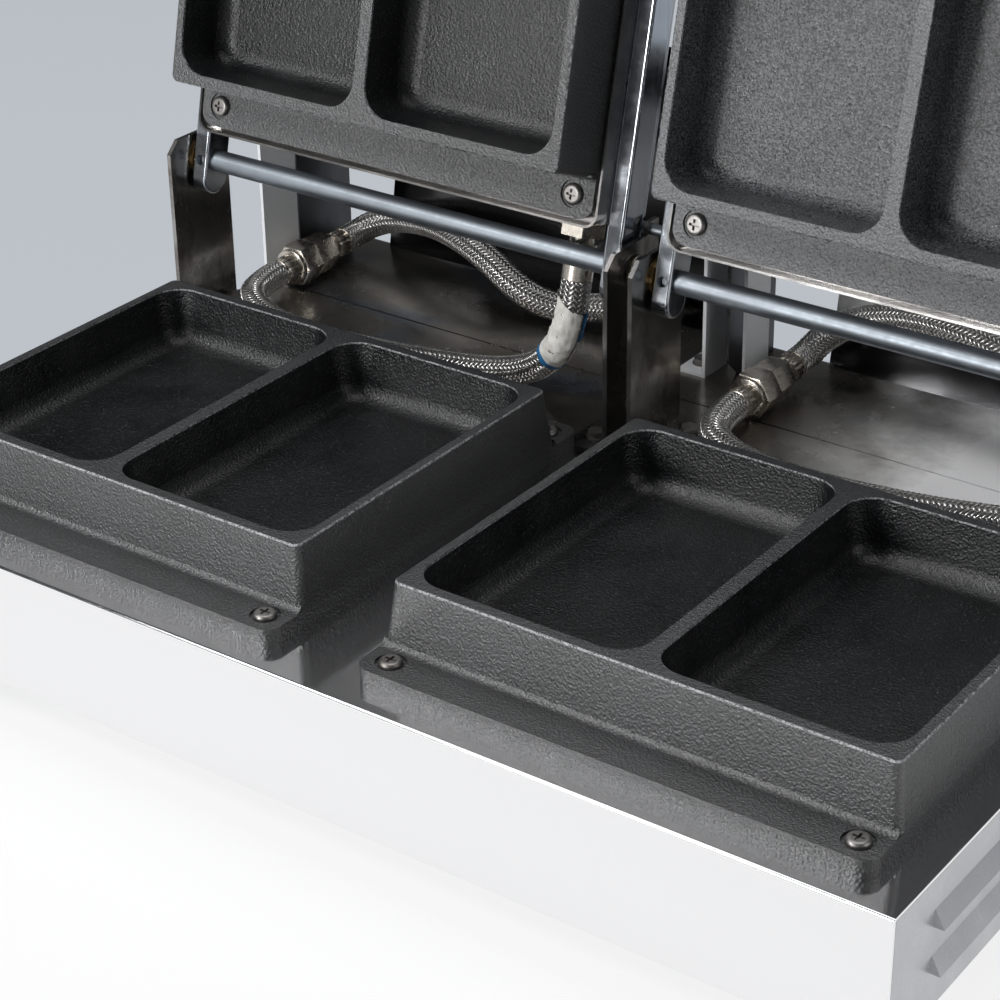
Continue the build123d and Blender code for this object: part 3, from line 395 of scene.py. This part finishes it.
def ribbon_bar(stations):
    """A flat four-sided bar one unit long with closed ends, cut across into stations."""
    bar = bmesh.new()
    bmesh.ops.create_cone(bar, cap_ends=True, segments=4, radius1=1, radius2=1, depth=1)
    long_edges = [e for e in bar.edges if abs(e.verts[0].co.z - e.verts[1].co.z) > 0.5]
    bmesh.ops.subdivide_edges(bar, edges=long_edges, cuts=stations, use_grid_fill=True)
    return bar


def braided_hose(name, points):
    line = centre_line(name, points, line_step)
    frames = frames_along(line)
    length = length_of(line)
    turns = length / braid_lead
    crossings = 2 * ribbons_each_way * turns
    bar = ribbon_bar(round(crossings * cuts_per_crossing))
    template = bpy.data.meshes.new(name + "_ribbon")
    bar.to_mesh(template)
    bar.free()
    corners = np.array([v.co for v in template.vertices])
    along = corners[:, 2] + 0.5
    whole = bmesh.new()
    for way in (-1, 1):
        for ribbon in range(ribbons_each_way):
            middle = 2 * math.pi * (ribbon / ribbons_each_way + way * turns * along)
            met = ribbon + way * 2 * ribbons_each_way * turns * along
            lift = way * np.cos(math.pi / 2 * (ribbon + met - 0.5))
            radius = braid_radius + weave_lift * lift + ribbon_crown * corners[:, 1]
            # Half of the ribbon's width goes round the hose and half along it.
            shift = ribbon_half_width * corners[:, 0] * math.sqrt(0.5)
            angle = middle + shift / braid_radius
            place = round_the_line(line, frames, along - way * shift / length, angle, radius)
            for vertex, spot in zip(template.vertices, place):
                vertex.co = spot
            whole.from_mesh(template)
    bpy.data.meshes.remove(template)
    core = bmesh.new()
    bmesh.ops.create_cone(core, cap_ends=True, segments=core_corners, radius1=1, radius2=1,
                          depth=1)
    long_edges = [e for e in core.edges if abs(e.verts[0].co.z - e.verts[1].co.z) > 0.5]
    bmesh.ops.subdivide_edges(core, edges=long_edges, cuts=len(line) // 2, use_grid_fill=True)
    spots = np.array([v.co for v in core.verts])
    angles = np.arctan2(spots[:, 1], spots[:, 0])
    radii = np.full(len(spots), braid_radius - weave_lift)
    laid = round_the_line(line, frames, spots[:, 2] + 0.5, angles, radii)
    for vertex, spot in zip(core.verts, laid):
        vertex.co = spot
    joined = bpy.data.meshes.new(name)
    core.to_mesh(joined)
    core.free()
    whole.from_mesh(joined)
    bmesh.ops.recalc_face_normals(whole, faces=whole.faces)
    for face in whole.faces:
        face.smooth = True
    whole.to_mesh(joined)
    whole.free()
    hose = bpy.data.objects.new(name, joined)
    bpy.context.scene.collection.objects.link(hose)
    print(name, "length", round(length, 4), "faces", len(joined.polygons))
    return hose, line, length


# %% [markdown]
# A paper wrap is still stuck round the left lid hose, in the bend where it leaves the lid.
# A flat grid is laid round the hose's own line, cut slanting at the top, and creased by a
# little noise before it gets its thickness. It has no print: a plain blue border at the
# lower end, and a blue under-layer where a corner of the paper is torn away.

# %% Paper wrap
wrap_radius = braid_radius + 1.0 * mm
wrap_high = 62.0 * mm
wrap_low = 27.0 * mm
wrap_slant = 5.0 * mm
wrap_crease = 0.9 * mm
wrap_overlap = 0.98
paper_thickness = 0.15 * mm


def paper_wrap(line):
    frames = frames_along(line)
    top = int(np.argmax(line[:, 2] < deck_top + wrap_high))
    bottom = int(np.argmax(line[:, 2] < deck_top + wrap_low))
    middle = (top + bottom) // 2
    # The paper ends meet on the side that faces right and forward.
    facing = np.array((0.95, -0.2, 0.1))
    seam = math.atan2(facing @ frames[2][middle], facing @ frames[1][middle])
    sheet = bmesh.new()
    sheet.loops.layers.uv.new("UVMap")
    bmesh.ops.create_grid(sheet, x_segments=64, y_segments=36, size=1, calc_uvs=True)
    spots = np.array([v.co for v in sheet.verts])
    angles = seam + math.pi * (1 + wrap_overlap * spots[:, 0])
    upward = (spots[:, 1] + 1) / 2
    cut = wrap_slant / mm * np.cos(angles - seam) * upward
    along = (bottom - (bottom - top) * upward + cut) / (len(line) - 1)
    creases = [wrinkle.noise(Vector((5 * x, 7 * y + 3 * x, 0.3))) for x, y, z in spots]
    fine_creases = [wrinkle.noise(Vector((14 * x, 11 * y, 4.1))) for x, y, z in spots]
    radii = wrap_radius + wrap_crease * (np.array(creases) + 0.4 * np.array(fine_creases))
    for vertex, spot in zip(sheet.verts, round_the_line(line, frames, along, angles, radii)):
        vertex.co = spot
    bmesh.ops.solidify(sheet, geom=sheet.faces[:], thickness=-paper_thickness)
    for face in sheet.faces:
        face.smooth = True
    mesh = bpy.data.meshes.new("paper_wrap")
    sheet.to_mesh(mesh)
    sheet.free()
    piece = bpy.data.objects.new("paper_wrap", mesh)
    bpy.context.scene.collection.objects.link(piece)
    return piece


# %% [markdown]
# The lid hoses join two bodies. Here they, and the paper on the left one, stay where they are
# laid with the lid open, and ride on neither; the feed hoses ride on the base.

# %% Making the hoses
hoses = []
for name, side in sides.items():
    for kind, make_points in (("lid", lid_hose_points), ("feed", feed_hose_points)):
        node = f"{name}_{kind}_hose"
        hose, line, length = braided_hose(node + "_braid", make_points(name, side))
        pieces = [hose]
        if node == "left_lid_hose":
            wrap = paper_wrap(line)
            pieces.append(wrap)
        for piece in pieces:
            if kind == "lid":
                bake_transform(piece)
            else:
                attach(piece, "base")
        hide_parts(node)
        hoses.append(hose)

# %% [markdown]
# A union joins each pair of hoses: a fluted sleeve crimped on the hose, a round collar, a
# hexagon nut, the hexagon body, a neck and the second sleeve. Each section is a cone with
# equal ends whose rims are bevelled, because machined edges are never sharp, and a bevel is
# what catches the light. The flutes come from pressing every third row of points inwards.

# %% Hose unions
union_sections = (
    ("ring", 8.3, 1.8), ("sleeve", 8.0, 9.2), ("ring", 10.5, 2.5), ("hexagon", 22.0, 14.0),
    ("hexagon", 20.0, 17.0), ("ring", 6.5, 4.5), ("sleeve", 8.1, 9.2), ("ring", 8.3, 1.8),
)
section_corners = {"ring": 48, "sleeve": 36, "hexagon": 6}
section_bevel = {"ring": 0.45, "sleeve": 0.3, "hexagon": 1.0}
flute_depth = 0.07
flute_every = 3
crisp_edge = math.radians(25)


def union_solids():
    whole = bmesh.new()
    reached = 0.0
    for kind, size, long in union_sections:
        radius = size / math.sqrt(3) if kind == "hexagon" else size
        centre = Matrix.Translation((0, 0, (reached + long / 2) * mm))
        centre = centre @ Matrix.Rotation(math.radians(30), 4, "Z")
        made = bmesh.ops.create_cone(
            whole, cap_ends=True, segments=section_corners[kind], radius1=radius * mm,
            radius2=radius * mm, depth=long * mm, matrix=centre)
        if kind == "sleeve":
            row_angle = 2 * math.pi / section_corners[kind]
            for vertex in made["verts"]:
                row = round(math.atan2(vertex.co.y, vertex.co.x) / row_angle)
                if row % flute_every == 0:
                    vertex.co.xy *= 1 - flute_depth
        edges = {e for v in made["verts"] for e in v.link_edges}
        rims = [e for e in edges if abs(e.verts[0].co.z - e.verts[1].co.z) < 0.01 * mm]
        bmesh.ops.bevel(whole, geom=rims, offset=section_bevel[kind] * mm,
                        offset_type="OFFSET", segments=2, profile=0.5, affect="EDGES",
                        material=-1)
        reached += long
    for face in whole.faces:
        face.smooth = True
    for edge in whole.edges:
        edge.smooth = edge.calc_face_angle(0) < crisp_edge
    return whole


union_pair = bmesh.new()
for name, side in sides.items():
    one = union_solids()
    stand = Matrix.Translation(on_press(side, (union_offset[name], union_front, union_height)))
    laid_down = stand @ Matrix.Rotation(math.radians(-90), 4, "X")
    bmesh.ops.transform(one, matrix=laid_down, verts=one.verts)
    half = bpy.data.meshes.new("union_half")
    one.to_mesh(half)
    one.free()
    union_pair.from_mesh(half)
    bpy.data.meshes.remove(half)
bmesh.ops.recalc_face_normals(union_pair, faces=union_pair.faces)
union_mesh = bpy.data.meshes.new("hose_union_pair")
union_pair.to_mesh(union_mesh)
union_pair.free()
unions = bpy.data.objects.new("hose_union_pair", union_mesh)
bpy.context.scene.collection.objects.link(unions)
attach(unions, "base")
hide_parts("hose_unions")
print("unions", len(union_mesh.polygons), "faces")

# %% [markdown]
# The castings are seasoned iron, black and slightly oily. It isn't a bare metal to the eye:
# a dark skin with a clear gloss, so the shader is a dielectric with a raised index, and the
# white sheet in front shows in its outer faces. The outer faces keep the grain of the sand,
# the cavities are smoother and darker, single grains of the sand get a painted glint, and
# the rounded rims are lighter, partly bright from rubbing and partly a painted highlight.
# One recipe asks where it is on the casting: inside the mouths of the cavities or outside,
# and how far below the rim. From the camera's side the right upper casting is the lightest
# of the four because of sheen, so a share of its grain is painted pale as a painted sheen.


# %% Cast iron
cavity_half_width = 120.1 * mm
cavity_half_depth = 91.4 * mm
rib_half_width = 3.6 * mm
skin_below_rim = 0.9 * mm
iron_outside = ((0.007, 0.008, 0.009), (0.015, 0.016, 0.018))
iron_inside = ((0.0025, 0.003, 0.0035), (0.005, 0.0055, 0.0065))
painted_sheen_iron = (0.30, 0.31, 0.33)
painted_glint_iron = (0.32, 0.33, 0.35)
rubbed_and_highlit_iron = (0.42, 0.43, 0.45)
painted_glint_share = 0.22
rubbed_and_highlight_share = 0.85


def cast_iron(name, origin, turn, painted_sheen=0.0):
    material, tree, shader = new_finish(name, (0.012, 0.013, 0.015), 0.0, 0.4, IOR=1.75)
    local = place_on(tree, origin, turn)
    axes = add(tree, "SeparateXYZ", {0: local})
    far_x = maths(tree, "ABSOLUTE", axes.outputs["X"])
    far_y = maths(tree, "ABSOLUTE", axes.outputs["Y"])
    in_x = maths(tree, "LESS_THAN", far_x, cavity_half_width)
    in_y = maths(tree, "LESS_THAN", far_y, cavity_half_depth)
    up = axes.outputs["Z"]
    below_rim = maths(tree, "LESS_THAN", up, mould_height - skin_below_rim)
    off_rib = maths(tree, "GREATER_THAN", far_x, rib_half_width)
    mouth = maths(tree, "MULTIPLY", in_x, in_y)
    cavity = maths(tree, "MULTIPLY", mouth, maths(tree, "MULTIPLY", below_rim, off_rib))
    grain = noise(tree, local, 950, 3, 0.6)
    lumps = noise(tree, local, 260, 2, 0.5)
    patches = noise(tree, local, 34, 4, 0.6)
    sand = noise(tree, local, 1250, 0.5, 0.5)
    pits = add(tree, "TexVoronoi", {"Vector": local, "Scale": 700}).outputs["Distance"]
    # Colour: dark grey outside, nearly black inside, a painted glint on single grains, and a lighter edge along
    # the rims, partly bright from rubbing and partly a painted highlight.
    outside = tint(tree, ramp(tree, patches, 0, 1, 0.35, 0.7), *iron_outside)
    inside = tint(tree, ramp(tree, patches, 0, 1, 0.35, 0.7), *iron_inside)
    base = tint(tree, cavity, outside, inside)
    # Painted sheen: by the given share the grain is painted pale, and the painted glint grows with it.
    painted_sheen_mask = ramp(tree, grain, 0, painted_sheen, 0.40, 0.62)
    base = tint(tree, painted_sheen_mask, base, painted_sheen_iron)
    # Painted glint: single sand grains are painted light, as a highlight on them would look.
    painted_glint_mask = ramp(tree, sand, 0, 1, 0.68, 0.76)
    painted_glint_amount = maths(tree, "MULTIPLY", painted_glint_mask, painted_glint_share + painted_sheen)
    base = tint(tree, painted_glint_amount, base, painted_glint_iron)
    # The rounded rims are painted lighter: partly bright from rubbing, partly a painted highlight.
    edge = ramp(tree, up, 0, 1, mould_height - 1.3 * mm, mould_height - 0.7 * mm)
    top = ramp(tree, up, 1, 0, mould_height - 0.22 * mm, mould_height - 0.08 * mm)
    rubbed_and_highlight_mask = maths(tree, "MULTIPLY", maths(tree, "MULTIPLY", edge, top),
                   ramp(tree, grain, 0, 1, 0.42, 0.56))
    base = tint(tree, maths(tree, "MULTIPLY", rubbed_and_highlight_mask, rubbed_and_highlight_share), base, rubbed_and_highlit_iron)
    tree.links.new(base, shader.inputs["Base Color"])
    rough_out = ramp(tree, grain, 0.30, 0.55, 0.3, 0.7)
    rough_in = ramp(tree, patches, 0.26, 0.42, 0.3, 0.7)
    tree.links.new(ramp(tree, cavity, 0.75, 0.3), shader.inputs["Specular IOR Level"])
    mixed = add(tree, "Mix", {0: cavity, 2: rough_out, 3: rough_in}).outputs[0]
    tree.links.new(mixed, shader.inputs["Roughness"])
    height = maths(tree, "ADD", grain, maths(tree, "MULTIPLY", pits, 0.6))
    strength_map = add(tree, "Mix", {0: cavity, 2: 1.0, 3: 0.6}).outputs[0]
    fine = bump(tree, height, strength_map, 0.5 * mm)
    tree.links.new(bump(tree, lumps, 0.22, 0.5 * mm, fine), shader.inputs["Normal"])
    return material


# %% [markdown]
# Sheet steel comes in a few finishes here. The deck, the lid pans and the heat guards are
# near mirrors, dulled by wiping and by heat. Covers and panels are brushed. One function
# makes the pans, covers and panels: a base colour, how far the shine wanders, and the
# direction of the lines that rolling or brushing left. The deck and the guards have their own.


# %% Sheet steel
def steel(name, color, rough_low, rough_high, lines=(6, 900, 900), line_depth=0.02, stain=None,
          stain_share=0.55, cloud_scale=9.0, line_tone=0.9):
    material, tree, shader = new_finish(name, color, 1.0, rough_low)
    spot = place_on(tree)
    clouds = noise(tree, spot, cloud_scale, 5, 0.6)
    smears = noise(tree, place_on(tree, stretch=(1, 3.5, 2)), cloud_scale * 2.2, 6, 0.65)
    wipe_and_painted_reflection = maths(tree, "MULTIPLY", clouds, smears)
    shine = ramp(tree, wipe_and_painted_reflection, rough_low, rough_high, 0.16, 0.40)
    tree.links.new(shine, shader.inputs["Roughness"])
    fine_lines = noise(tree, place_on(tree, stretch=lines), 1.0, 2, 0.5)
    in_lines = [c * line_tone for c in color]
    tone = tint(tree, ramp(tree, fine_lines, 0, 1, 0.3, 0.7), in_lines, color)
    if stain is not None:
        tone = tint(tree, ramp(tree, smears, 0, stain_share, 0.46, 0.66), tone, stain)
    tree.links.new(tone, shader.inputs["Base Color"])
    tree.links.new(bump(tree, fine_lines, 0.5, line_depth * mm), shader.inputs["Normal"])
    return material


# %% [markdown]
# Turned and drawn parts share a second recipe: a metal with a fine tooling noise, and grime
# in broad clouds. A third, for rubber, plastic and paint, has no metal in it.


# %% Turned metal and other small parts
def small_metal(name, color, grime, rough_low, rough_high, scale=400.0, depth=0.05,
                amount=0.5):
    material, tree, shader = new_finish(name, color, 1.0, rough_low)
    spot = place_on(tree)
    fine = noise(tree, spot, scale, 4, 0.6)
    broad = noise(tree, spot, scale / 9, 4, 0.6)
    tone = tint(tree, ramp(tree, broad, 0, amount, 0.42, 0.66), color, grime)
    tree.links.new(tone, shader.inputs["Base Color"])
    shine = ramp(tree, fine, rough_low, rough_high, 0.3, 0.7)
    tree.links.new(shine, shader.inputs["Roughness"])
    tree.links.new(bump(tree, fine, 0.4, depth * mm), shader.inputs["Normal"])
    return material


def moulded(name, color, roughness, scale=700.0, depth=0.12):
    material, tree, shader = new_finish(name, color, 0.0, roughness)
    fine = noise(tree, place_on(tree), scale, 3, 0.6)
    shine = ramp(tree, fine, roughness - 0.1, roughness + 0.12, 0.3, 0.7)
    tree.links.new(shine, shader.inputs["Roughness"])
    tree.links.new(bump(tree, fine, 0.5, depth * mm), shader.inputs["Normal"])
    return material


# %% [markdown]
# The paper's border and its torn corner follow the sheet, not the room, so this finish reads
# the sheet's own map: across is round the hose, and up runs from the border to the cut.


# %% Paper
border_height = 0.10
torn_right_of, torn_above = 0.90, 0.62


def wrap_paper():
    material, tree, shader = new_finish("wrap_paper", (0.72, 0.71, 0.67), 0.0, 0.6)
    sheet_map = add(tree, "SeparateXYZ", {0: add(tree, "TexCoord").outputs["UV"]})
    border = maths(tree, "LESS_THAN", sheet_map.outputs["Y"], border_height)
    torn = maths(tree, "MULTIPLY",
                 maths(tree, "GREATER_THAN", sheet_map.outputs["X"], torn_right_of),
                 maths(tree, "GREATER_THAN", sheet_map.outputs["Y"], torn_above))
    blue = maths(tree, "MAXIMUM", border, torn)
    spot = place_on(tree)
    smudges = ramp(tree, noise(tree, spot, 160, 4, 0.6), 0, 1, 0.4, 0.7)
    soiled = tint(tree, smudges, (0.74, 0.73, 0.69), (0.60, 0.58, 0.53))
    tree.links.new(tint(tree, blue, soiled, (0.012, 0.15, 0.36)), shader.inputs["Base Color"])
    fibres = noise(tree, spot, 500, 3, 0.5)
    tree.links.new(bump(tree, fibres, 0.4, 0.1 * mm), shader.inputs["Normal"])
    return material


# %% [markdown]
# The deck behind the moulds has been heated and wiped many times. Brown clouds lie over the
# steel at the left and a few bluish ones from the heat. The right half is a painted reflection:
# pale and nearly without metal, for the bright light that the polished deck mirrors there. The
# front sheet is clean in front of the line that it is given, and like the rest behind it.


# %% Heated deck
clean_deck = (0.88, 0.88, 0.89)
painted_reflection_deck = (0.93, 0.93, 0.94)
warm_deck = (0.42, 0.40, 0.37)
brown_cloud = (0.20, 0.175, 0.15)
blue_cloud = (0.30, 0.35, 0.44)
painted_reflection_from, painted_reflection_to = 0.12, 0.20


def heated_deck(name, clean_front=None):
    material, tree, shader = new_finish(name, (0.5, 0.5, 0.5), 0.9, 0.3)
    spot = place_on(tree)
    clouds = noise(tree, spot, 12, 6, 0.65)
    elsewhere = place_on(tree, origin=(0.3, 0.1, 0), stretch=(1, 2.2, 1))
    blue_clouds = noise(tree, elsewhere, 15, 5, 0.6)
    axes = add(tree, "SeparateXYZ", {0: spot})
    across = maths(tree, "ADD", axes.outputs["X"], maths(tree, "MULTIPLY", clouds, 0.12))
    # Painted reflection: the right half is painted pale and given little metal, for the bright light that the deck
    # mirrors there.
    wipe_and_painted_reflection = ramp(tree, across, 0, 1, painted_reflection_from, painted_reflection_to)
    steel_tone = tint(tree, wipe_and_painted_reflection, warm_deck, painted_reflection_deck)
    stained = tint(tree, ramp(tree, clouds, 0, 0.7, 0.46, 0.64), steel_tone, brown_cloud)
    blued = tint(tree, ramp(tree, blue_clouds, 0, 0.6, 0.52, 0.66), stained, blue_cloud)
    tone = tint(tree, wipe_and_painted_reflection, blued, steel_tone)
    metal = ramp(tree, wipe_and_painted_reflection, 0.95, 0.05)
    rough = ramp(tree, clouds, 0.14, 0.34, 0.35, 0.65)
    if clean_front is not None:
        behind = ramp(tree, axes.outputs["Y"], 0, 1, clean_front, clean_front + 20 * mm)
        tone = tint(tree, behind, clean_deck, tone)
        metal = add(tree, "Mix", {0: behind, 2: 1.0, 3: metal}).outputs[0]
        rough = add(tree, "Mix", {0: behind, 2: 0.1, 3: rough}).outputs[0]
    tree.links.new(tone, shader.inputs["Base Color"])
    tree.links.new(rough, shader.inputs["Roughness"])
    tree.links.new(metal, shader.inputs["Metallic"])
    return material


# %% [markdown]
# The heat guards are black at the deck, and turn to bare, dull steel above a given
# height. A soft step, ragged by a noise, mixes the two. The left one is black all the way up.


# %% Heat guards
guard_black = (0.06, 0.06, 0.063)
bare_guard = (0.78, 0.78, 0.78)
guard_step = 14 * mm
black_all_over = 200 * mm


def guard_steel(name, bare_above):
    material, tree, shader = new_finish(name, (0.1, 0.1, 0.105), 0.85, 0.2)
    spot = place_on(tree)
    height = add(tree, "SeparateXYZ", {0: spot}).outputs["Z"]
    ragging = maths(tree, "MULTIPLY", noise(tree, spot, 30, 4, 0.6), 0.012)
    ragged = maths(tree, "ADD", height, ragging)
    start = deck_top + bare_above
    clean = ramp(tree, ragged, 0, 1, start, start + guard_step)
    tree.links.new(tint(tree, clean, guard_black, bare_guard), shader.inputs["Base Color"])
    tree.links.new(ramp(tree, clean, 0.14, 0.42), shader.inputs["Roughness"])
    tree.links.new(ramp(tree, clean, 1.0, 0.3), shader.inputs["Metallic"])
    return material


# %% The list of finishes
finishes = {
    "brushed_steel": steel("brushed_steel", (0.50, 0.51, 0.53), 0.24, 0.40, (5, 1400, 1400),
                           0.03),
    "mirror_steel": steel("mirror_steel", (0.88, 0.88, 0.89), 0.07, 0.20, (3, 300, 300), 0.0,
                          line_tone=1.0),
    "heated_deck": heated_deck("heated_deck"),
    "front_steel": heated_deck("front_steel", mould_high.y - 10 * mm),
    "pan_steel": steel("pan_steel", (0.46, 0.45, 0.44), 0.14, 0.30, (4, 900, 900), 0.01,
                       stain=(0.30, 0.24, 0.18), stain_share=0.15),
    "left_guard_steel": guard_steel("left_guard_steel", black_all_over),
    "right_guard_steel": guard_steel("right_guard_steel", 28 * mm),
    "frame_plate": steel("frame_plate", (0.085, 0.085, 0.088), 0.25, 0.45, (4, 900, 900),
                         0.01),
    # The foot angles' pale, non-metal finish is a painted reflection: it stands in for the bright light their
    # steel shows in the shade of the lids.
    "pale_plate": moulded("pale_plate", (0.80, 0.82, 0.84), 0.45, 90, 0.05),
    "bracket_steel": steel("bracket_steel", (0.40, 0.39, 0.38), 0.18, 0.38, (900, 900, 8),
                           0.02, stain=(0.13, 0.11, 0.09), stain_share=0.8),
    "chrome_arm": steel("chrome_arm", (0.50, 0.53, 0.57), 0.12, 0.26, (800, 800, 6), 0.006,
                        cloud_scale=30),
    "wrap_paper": wrap_paper(),
    "black_grip": moulded("black_grip", (0.022, 0.022, 0.024), 0.42),
    "black_rubber": moulded("black_rubber", (0.02, 0.02, 0.02), 0.62),
}
# Name: metal, grime, least and most roughness, then the scale, depth and amount of grime.
small_metals = {
    "zinc_rod": ((0.27, 0.30, 0.33), (0.19, 0.20, 0.22), 0.42, 0.52, 300, 0.02),
    "bright_screw": ((0.30, 0.29, 0.28), (0.12, 0.10, 0.08), 0.38, 0.52, 600, 0.05),
    "spring_wire": ((0.40, 0.38, 0.36), (0.20, 0.17, 0.14), 0.25, 0.40),
    "nickel_fitting": ((0.68, 0.63, 0.56), (0.58, 0.53, 0.46), 0.24, 0.30, 300, 0.0, 0.2),
    "steel_braid": ((0.60, 0.59, 0.58), (0.48, 0.46, 0.44), 0.26, 0.36, 900, 0.0),
    "burner_steel": ((0.30, 0.28, 0.26), (0.12, 0.10, 0.09), 0.35, 0.55),
    "feed_pipe": ((0.60, 0.60, 0.61), (0.40, 0.40, 0.40), 0.25, 0.40),
    "brass": ((0.60, 0.42, 0.20), (0.28, 0.18, 0.08), 0.22, 0.40),
}
for name, recipe in small_metals.items():
    finishes[name] = small_metal(name, *recipe)
# The right upper casting gets a painted sheen: pale colour that stands in for the sheen it shows from the camera's
# side.
casting_painted_sheen = {"left": 0.0, "right": 0.35}
own_finish = {
    "rear_deck": "heated_deck", "front_deck": "front_steel",
    "left_lid_pan": "pan_steel", "right_lid_pan": "pan_steel",
    "left_heat_guard": "left_guard_steel", "right_heat_guard": "right_guard_steel",
    "rear_frame": "frame_plate", "foot_angles": "pale_plate",
}

# %% Giving each node its finish
node_slots = {part["node"]: part["material_slot"] for part in frame["record"]["subparts"]}


def paint(piece, material):
    piece.data.materials.clear()
    piece.data.materials.append(material)


for node, piece in nodes.items():
    finish = own_finish.get(node, node_slots[node])
    if finish in finishes:
        paint(piece, finishes[finish])
closed_gap = 0.8 * mm
upper_back = deck_top + 2 * mould_height + closed_gap
for name, side in sides.items():
    middle = side * lid_centre
    lower = cast_iron(name + "_lower_cast", (middle, mould_middle, deck_top), 0.0)
    paint(nodes[name + "_lower_mould"], lower)
    origin = opened((middle, mould_middle, upper_back), middle)
    upper = cast_iron(name + "_upper_cast", tuple(origin), math.pi - open_angle,
                      casting_painted_sheen[name])
    paint(nodes[name + "_upper_mould"], upper)
for hose in hoses:
    paint(hose, finishes["steel_braid"])
paint(wrap, finishes["wrap_paper"])
paint(unions, finishes["nickel_fitting"])
